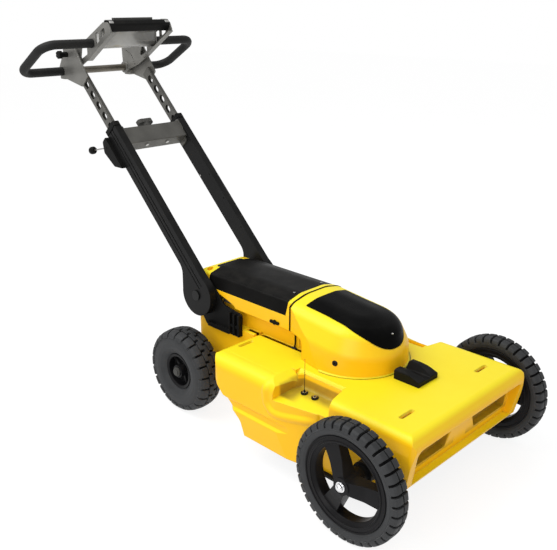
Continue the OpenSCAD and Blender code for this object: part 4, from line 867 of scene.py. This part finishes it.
class CART_OT_screws(bpy.types.Operator):
    """Screw heads on nose, panel, lid and arms"""

    bl_idname = "cart.screws"
    bl_label = "Add Screw Heads"

    def execute(self, context):
        finish, trim = context.scene.cart_finish, context.scene.cart_trim
        bright = streaked_metal(
            "screw_steel", finish.screw_steel, edge=0.0004, rough=(0.2, 0.34), stretch=(400.0, 400.0, 400.0),
            metallic=1.0)
        dark = grained_black(
            "screw_black", finish.screw_black, edge=0.0004, rough=(0.4, 0.55), grain=900.0, bump=0.1)
        dress(["nose_screws"], dark)
        low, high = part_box("nose_screws")
        sunk = bmesh.new()
        for side in (-1, 1):
            place = (low[0] + NOSE_BORE, side * (high[1] - SIDE_HEAD[1]), low[2] + NOSE_BORE)
            add_screw(sunk, place, (0, side, 0), trim.side_screw, SIDE_HEAD[0])
            add_grommet(sunk, self.on_nose(place, side), trim.side_screw)
        keep_mesh("nose_side_screws", sunk, "chassis", dark)
        panel = bmesh.new()
        place = (high[0] - PANEL_BORE, 0.0, high[2] - PANEL_HEAD[1])
        add_screw(panel, place, PANEL_LEAN, trim.small_screw, PANEL_HEAD[0])
        keep_mesh("panel_screw_head", panel, "chassis", bright)
        low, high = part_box("lid_screws")
        lid = bmesh.new()
        for across in (low[1] + LID_BORE, high[1] - LID_BORE):
            place = ((low[0] + high[0]) / 2, across, high[2] - LID_HEAD[1])
            add_screw(lid, place, (0, 0, 1), trim.small_screw, LID_HEAD[0])
        keep_mesh("lid_screw_heads", lid, "battery", bright)
        arms = bmesh.new()
        for node, facing in (("arm_right", 1), ("arm_left", -1)):
            low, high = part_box(node)
            inner = high[1] if facing > 0 else low[1]
            place = ARM_LINE + ARM_RUN * ARM_SCREW_UP + ARM_FACE * ARM_SCREW_OFF
            place.y = inner - facing * ARM_HEAD[1]
            add_screw(arms, place, (0, facing, 0), trim.small_screw, ARM_HEAD[0])
        keep_mesh("arm_screw_heads", arms, "arms", bright)
        return {"FINISHED"}

    def on_nose(self, place, side):
        """Frame on the nose's skin beside a sunk screw, with its Z outwards."""
        nose = NODES["nose_cover"]
        spots, lean = [], Vector()
        for lift in (-NOSE_SPREAD, NOSE_SPREAD):
            start = Vector((place[0], side * NOSE_PROBE, place[2] + lift * NOSE_BORE))
            struck, spot, normal, _ = nose.ray_cast(nose.matrix_world.inverted() @ start, (0, -side, 0))
            if not struck:
                raise RuntimeError("no skin of the nose beside its screw")
            spots.append(nose.matrix_world @ spot)
            lean += normal
        return standing((spots[0] + spots[1]) / 2, lean)


class CART_OT_connectors(bpy.types.Operator):
    """Knurled collars and whip on the pocket connectors, and the plug in the groove"""

    bl_idname = "cart.connectors"
    bl_label = "Add Connector Fittings"

    def execute(self, context):
        finish, trim = context.scene.cart_finish, context.scene.cart_trim
        black = grained_black(
            "collar_black", finish.collar_black, edge=0.0004, rough=(0.4, 0.5), grain=900.0, bump=0.1)
        low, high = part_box("pocket_connectors")
        across = high[1] - PLUG_RADIUS
        along = (low[0] + PLUG_RADIUS, high[0] - PLUG_RADIUS)
        collars = bmesh.new()
        for side in (-1, 1):
            for x in along:
                foot = (x, side * across, high[2] - trim.collar_height - COLLAR_DROP)
                self.add_collar(collars, standing(foot, (0, 0, 1)), trim)
        keep_mesh("connector_collars", collars, "chassis", black, smooth=False)
        whip = bmesh.new()
        foot = standing((along[0], -across, high[2] - WHIP_DROP), (0, 0, 1))
        radius = trim.whip_radius
        add_round(whip, foot, radius, radius * WHIP_TAPER, trim.whip_length, 12)
        ferrule = add_round(whip, foot, radius * FERRULE_FOOT, radius * FERRULE_TOP, FERRULE_HEIGHT, 16)
        break_edges(whip, [end_face(ferrule, foot)], FERRULE_EDGE)
        bead = foot @ Matrix.Translation((0.0, 0.0, trim.whip_length))
        bmesh.ops.create_uvsphere(whip, u_segments=12, v_segments=8, radius=radius * WHIP_BEAD, matrix=bead)
        keep_mesh("connector_whip", whip, "chassis", black)
        plug = bmesh.new()
        block = bmesh.ops.create_cube(
            plug, size=1.0, matrix=Matrix.LocRotScale(GROOVE_PLUG, None, GROOVE_PLUG_SIZE))
        round_off(plug, edges_of(block["verts"]), GROOVE_PLUG_ROUND, 3)
        keep_mesh("groove_plug", plug, "chassis", black)
        return {"FINISHED"}

    def add_collar(self, shape, at, trim):
        """Knurled ring with a well that the connector stands in."""
        radius, height = trim.collar_radius, trim.collar_height
        verts = add_round(shape, at, radius, radius, height, trim.knurls * 2)
        top = end_face(verts, at)
        sides = sorted(
            {face for vert in verts for face in vert.link_faces if len(face.verts) == 4},
            key=lambda face: math.atan2(*(at.inverted() @ face.calc_center_median()).xy))
        bmesh.ops.inset_individual(shape, faces=sides[::2], thickness=KNURL_MARGIN, depth=KNURL_RISE)
        bmesh.ops.inset_region(shape, faces=[top], thickness=radius - PLUG_RADIUS - WELL_GAP)
        bmesh.ops.translate(shape, verts=top.verts, vec=(0, 0, -WELL_SHARE * height))


class CART_OT_seam(bpy.types.Operator):
    """Black gasket in the seam between battery box and nose, and the strip that leads down from it"""

    bl_idname = "cart.seam"
    bl_label = "Add Seam Gasket"

    def execute(self, context):
        finish, trim = context.scene.cart_finish, context.scene.cart_trim
        nose = NODES["nose_cover"]
        shape = bmesh.new()
        shape.from_mesh(nose.data)
        bmesh.ops.transform(shape, verts=shape.verts, matrix=nose.matrix_world)
        back = min(vert.co.x for vert in shape.verts)
        rest = [face for face in shape.faces if max(vert.co.x for vert in face.verts) > back + SEAM_FLATNESS]
        bmesh.ops.delete(shape, geom=rest, context="FACES")
        if not shape.faces:
            raise RuntimeError("the nose has no flat end at the seam")
        bmesh.ops.translate(shape, verts=shape.verts, vec=(SEAM_LAP, 0, 0))
        made = bmesh.ops.extrude_face_region(shape, geom=shape.faces[:], use_keep_orig=True)["geom"]
        bmesh.ops.translate(shape, verts=verts_of(made), vec=(-trim.gasket, 0, 0))
        middle = Vector((0.0, 0.0, SEAM_MIDDLE))
        wider = Matrix.Diagonal((1.0, SEAM_SHARE, SEAM_SHARE, 1.0))
        bmesh.ops.transform(
            shape, verts=shape.verts, matrix=Matrix.Translation(middle) @ wider @ Matrix.Translation(-middle))
        black = grained_black(
            "gasket_black", finish.gasket_black, edge=0.0004, rough=(0.6, 0.75), grain=700.0, bump=0.1,
            dusty=0.0, gloss=0.06)
        keep_mesh("seam_gasket", shape, "chassis", black, smooth=False)
        strip = bmesh.new()
        add_tube(strip, [Vector(spot) for spot in STRIP_LINE], STRIP_RADIUS, STRIP_SIDES)
        keep_mesh("seam_strip", strip, "chassis", black)
        return {"FINISHED"}


class CART_OT_ridges(bpy.types.Operator):
    """Soft ridges that sweep round the side pockets"""

    bl_idname = "cart.ridges"
    bl_label = "Add Pocket Ridges"

    def execute(self, context):
        trim = context.scene.cart_trim
        deck = NODES["deck_shell"]
        for name, side in SIDES:
            shape = bmesh.new()
            guides = [[Vector((x, side * y, z)) for x, y, z in guide] for guide in RIDGE_LINE]
            self.drape(shape, deck, self.stations(guides), trim)
            keep_mesh("pocket_ridge_" + name, shape, "chassis", deck.data.materials[0])
        return {"FINISHED"}

    def stations(self, guides):
        """Points on a smooth curve through the guide line, each with its direction outwards."""
        found = []
        for a in range(len(guides) - 1):
            spans = [guides[min(max(a + b, 0), len(guides) - 1)] for b in (-1, 0, 1, 2)]
            for step in range(RIDGE_STEPS):
                t = step / RIDGE_STEPS
                weights = (
                    -0.5 * t + t * t - 0.5 * t ** 3, 1 - 2.5 * t * t + 1.5 * t ** 3,
                    0.5 * t + 2 * t * t - 1.5 * t ** 3, -0.5 * t * t + 0.5 * t ** 3)
                found.append([
                    sum((span[part] * weight for span, weight in zip(spans, weights)), Vector())
                    for part in (0, 1)])
        found.append(guides[-1])
        return [(spot, outward.normalized()) for spot, outward in found]

    def drape(self, shape, deck, stations, trim):
        """Grid laid on the deck's skin, or on the line where none is found, lifted along its middle."""
        into = deck.matrix_world.inverted()
        rows = []
        for place, (spot, outward) in enumerate(stations):
            ahead = stations[min(place + 1, len(stations) - 1)][0] - stations[max(place - 1, 0)][0]
            across = ahead.cross(outward).normalized()
            share = place / (len(stations) - 1)
            fade = math.sin(math.pi * min(1.0, RIDGE_FADE * min(share, 1 - share)) / 2) ** 2
            row = []
            for step in range(-RIDGE_ACROSS, RIDGE_ACROSS + 1):
                offset = step / RIDGE_ACROSS
                start = spot + across * (offset * trim.ridge_half)
                struck, skin, _, _ = deck.ray_cast(
                    into @ (start + outward * RIDGE_PROBE), -outward, distance=RIDGE_REACH)
                base = deck.matrix_world @ skin if struck else start
                lift = trim.ridge_rise * fade * math.cos(math.pi * offset / 2) ** 2 - RIDGE_SINK
                row.append(shape.verts.new(base + outward * lift))
            rows.append(row)
        for first, second in zip(rows, rows[1:]):
            for a in range(len(first) - 1):
                shape.faces.new((first[a], first[a + 1], second[a + 1], second[a]))
        bmesh.ops.recalc_face_normals(shape, faces=shape.faces)
        middle = shape.faces[len(shape.faces) // 2]
        if middle.normal.dot(stations[len(stations) // 2][1]) < 0:
            bmesh.ops.reverse_faces(shape, faces=shape.faces)
        bmesh.ops.solidify(shape, geom=shape.faces[:], thickness=RIDGE_SHEET)


class CART_OT_slot_liners(bpy.types.Operator):
    """Moulded walls round the four strap slots"""

    bl_idname = "cart.slot_liners"
    bl_label = "Add Slot Liners"

    def execute(self, context):
        trim = context.scene.cart_trim
        shape = bmesh.new()
        for mount in frame["record"]["mounts"]:
            if mount["kind"] != "bolt_pattern":
                continue
            sizes = mount["dims"]
            x, _, z = mount["pos_m"]
            half = (sizes["slot_length_mm"] / 2 - sizes["hole_r_mm"]) / 1000
            for side in (-1, 1):
                self.add_liner(
                    shape, Vector((x, side * sizes["spacing_y_mm"] / 2000, z - LINER_SINK)), half,
                    sizes["hole_r_mm"] / 1000, trim)
        keep_mesh("strap_slot_liners", shape, "chassis", NODES["deck_shell"].data.materials[0])
        return {"FINISHED"}

    def add_liner(self, shape, place, half, radius, trim):
        """Long ring with round ends, open right through."""
        ring = bmesh.ops.create_circle(
            shape, segments=LINER_SIDES, radius=radius + trim.liner_wall / 2,
            matrix=Matrix.Rotation(math.pi / LINER_SIDES, 4, "Z"))
        for end in (-1, 1):
            bmesh.ops.translate(
                shape, verts=[vert for vert in ring["verts"] if vert.co.y * end > 0], vec=(0, end * half, 0))
        bmesh.ops.translate(shape, verts=ring["verts"], vec=place)
        made = bmesh.ops.extrude_edge_only(shape, edges=edges_of(ring["verts"]))["geom"]
        bmesh.ops.translate(shape, verts=verts_of(made), vec=(0, 0, -trim.liner_depth))
        walls = [item for item in made if isinstance(item, bmesh.types.BMFace)]
        bmesh.ops.recalc_face_normals(shape, faces=walls)
        bmesh.ops.solidify(shape, geom=walls, thickness=trim.liner_wall / 2)


class CART_OT_tray_caps(bpy.types.Operator):
    """Bright caps on the ends of the tray's bar and the folded apron under the tray"""

    bl_idname = "cart.tray_caps"
    bl_label = "Add Tray Trim"

    def execute(self, context):
        trim = context.scene.cart_trim
        low, high = (Vector(corner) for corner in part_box("tray_bar"))
        middle, size = (low + high) / 2, high - low
        bright = NODES["tray_plate_rear"].data.materials[0]
        for name, side in SIDES:
            shape = bmesh.new()
            verts = [shape.verts.new((
                middle.x + x * (size.x / 2 + trim.cap_wall), side * (high.y - trim.cap_width),
                middle.z + z * (size.z / 2 + trim.cap_wall))) for x, z in TRAY_CAP_OUTLINE]
            outline = shape.faces.new(verts)
            round_off(shape, list(outline.verts), TRAY_CAP_CORNER, 4, "VERTICES")
            made = bmesh.ops.extrude_face_region(shape, geom=shape.faces[:], use_keep_orig=True)["geom"]
            bmesh.ops.translate(shape, verts=verts_of(made), vec=(0, side * trim.cap_width, 0))
            break_edges(shape, [face for face in shape.faces if len(face.verts) > 4], TRAY_CAP_EDGE)
            keep_mesh("tray_cap_" + name, shape, "loop", bright)
        keep_mesh("tray_apron", self.apron(trim), "loop", bright)
        return {"FINISHED"}

    def apron(self, trim):
        """Folded sheet that hangs from the tray's plates in front of the handlebar."""
        low, high = (Vector(corner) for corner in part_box("tray_plate_front"))
        x, z = low.x + APRON_FOLD[0], low.z + APRON_FOLD[1]
        run = (
            (low.x + APRON_TOP[0], low.z + APRON_TOP[1]), (x, z), (x, z - trim.apron_drop + APRON_KICK),
            (x - APRON_KICK, z - trim.apron_drop))
        sides = (low.y + APRON_GAP, high.y - APRON_GAP)
        shape = bmesh.new()
        rows = [[shape.verts.new((along, across, up)) for across in sides] for along, up in run]
        for first, second in zip(rows, rows[1:]):
            shape.faces.new((first[0], first[1], second[1], second[0]))
        creases = [edge for edge in shape.edges if len(edge.link_faces) == 2]
        round_off(shape, creases, APRON_CREASE, 3)
        bmesh.ops.recalc_face_normals(shape, faces=shape.faces)
        bmesh.ops.solidify(shape, geom=shape.faces[:], thickness=trim.apron_sheet)
        return shape


class CART_OT_stage(bpy.types.Operator):
    """Pale floor, soft studio light and the camera"""

    bl_idname = "cart.stage"
    bl_label = "Set Stage"

    def execute(self, context):
        stage = context.scene.cart_stage
        shape = bmesh.new()
        bmesh.ops.create_grid(shape, x_segments=2, y_segments=2, size=FLOOR_HALF)
        mesh = bpy.data.meshes.new("floor")
        shape.to_mesh(mesh)
        shape.free()
        floor = bpy.data.objects.new("floor", mesh)
        context.scene.collection.objects.link(floor)
        mesh.materials.append(self.floor_material())
        self.world(stage)
        self.lamp("key_light", *KEY_LIGHT, stage.key_power)
        self.lamp("side_light", *SIDE_LIGHT, stage.side_power)
        camera = bpy.data.objects.new("camera", bpy.data.cameras.new("camera"))
        context.scene.collection.objects.link(camera)
        camera.location = stage.camera_place
        camera.rotation_euler = Vector(stage.camera_aim).to_track_quat("-Z", "Y").to_euler()
        camera.data.lens = stage.lens
        camera.data.shift_x = stage.shift_x
        camera.data.shift_y = stage.shift_y
        camera.data.clip_end = FAR_CLIP
        context.scene.camera = camera
        context.scene.view_settings.view_transform = "Standard"
        return {"FINISHED"}

    def floor_material(self):
        """White sweep that keeps a soft shadow."""
        material, tree, shader = fresh_material("pale_floor", 0.9, gloss=0.0)
        tone = ranged(tree, noise(tree, object_place(tree), 3.0), 0.0, 1.0, 0.86, 0.9)
        link(tree, tone, shader.inputs["Base Color"])
        glow = tree.nodes.new("ShaderNodeEmission")
        glow.inputs["Strength"].default_value = FLOOR_GLOW
        path = tree.nodes.new("ShaderNodeLightPath")
        blend = tree.nodes.new("ShaderNodeMixShader")
        seen = maths(tree, "MAXIMUM", path.outputs["Is Camera Ray"], path.outputs["Is Glossy Ray"])
        link(tree, maths(tree, "MULTIPLY", seen, FLOOR_SHARE), blend.inputs[0])
        link(tree, shader.outputs[0], blend.inputs[1])
        link(tree, glow.outputs[0], blend.inputs[2])
        link(tree, blend.outputs[0], tree.nodes["Material Output"].inputs["Surface"])
        return material

    def world(self, stage):
        """Even light from all round; the camera sees plain white."""
        world = bpy.data.worlds.new("studio")
        bpy.context.scene.world = world
        world.use_nodes = True
        tree = world.node_tree
        back = tree.nodes["Background"]
        back.inputs["Color"].default_value = (1.0, 1.0, 1.0, 1.0)
        path = tree.nodes.new("ShaderNodeLightPath")
        seen = maths(tree, "MAXIMUM", path.outputs["Is Camera Ray"], path.outputs["Is Transmission Ray"])
        strength = maths(tree, "MULTIPLY_ADD", seen, 1.0 - stage.sky)
        strength.node.inputs[2].default_value = stage.sky
        link(tree, strength, back.inputs["Strength"])

    def lamp(self, name, place, aim, size, power):
        """Square soft light turned towards a point."""
        data = bpy.data.lights.new(name, "AREA")
        data.size = size
        data.energy = power
        lamp = bpy.data.objects.new(name, data)
        bpy.context.scene.collection.objects.link(lamp)
        lamp.location = place
        lamp.rotation_euler = (Vector(aim) - Vector(place)).to_track_quat("-Z", "Y").to_euler()


class CART_PT_panel(bpy.types.Panel):
    """Buttons for the cart's finishes"""

    bl_label = "Radar Cart"
    bl_idname = "CART_PT_panel"
    bl_space_type = "VIEW_3D"
    bl_region_type = "UI"
    bl_category = "Radar Cart"

    def draw(self, context):
        for operator in OPERATORS:
            self.layout.operator(operator.bl_idname)
        for settings in (context.scene.cart_finish, context.scene.cart_trim, context.scene.cart_stage):
            box = self.layout.box()
            for label in settings.__annotations__:
                box.prop(settings, label)


OPERATORS = (
    CART_OT_bodywork, CART_OT_black_parts, CART_OT_handle, CART_OT_wheels, CART_OT_tyres, CART_OT_rim_beads,
    CART_OT_screws, CART_OT_connectors, CART_OT_seam, CART_OT_ridges, CART_OT_slot_liners, CART_OT_tray_caps,
    CART_OT_stage)
GROUP_TYPES = (CartFinish, CartTrim, CartStage)


def register():
    """Makes the cart's settings, operators and panel known to Blender."""
    for kind in (*GROUP_TYPES, *OPERATORS, CART_PT_panel):
        bpy.utils.register_class(kind)
    bpy.types.Scene.cart_finish = PointerProperty(type=CartFinish)
    bpy.types.Scene.cart_trim = PointerProperty(type=CartTrim)
    bpy.types.Scene.cart_stage = PointerProperty(type=CartStage)


def unregister():
    """Takes them away again."""
    for label in ("cart_finish", "cart_trim", "cart_stage"):
        delattr(bpy.types.Scene, label)
    for kind in reversed((*GROUP_TYPES, *OPERATORS, CART_PT_panel)):
        bpy.utils.unregister_class(kind)


def main():
    """Builds the whole cart and its stage."""
    register()
    bpy.ops.cart.bodywork()
    bpy.ops.cart.black_parts()
    bpy.ops.cart.handle()
    bpy.ops.cart.wheels()
    bpy.ops.cart.tyres()
    bpy.ops.cart.rim_beads()
    bpy.ops.cart.screws()
    bpy.ops.cart.connectors()
    bpy.ops.cart.seam()
    bpy.ops.cart.ridges()
    bpy.ops.cart.slot_liners()
    bpy.ops.cart.tray_caps()
    bpy.ops.cart.stage()


if __name__ == "__main__":
    main()
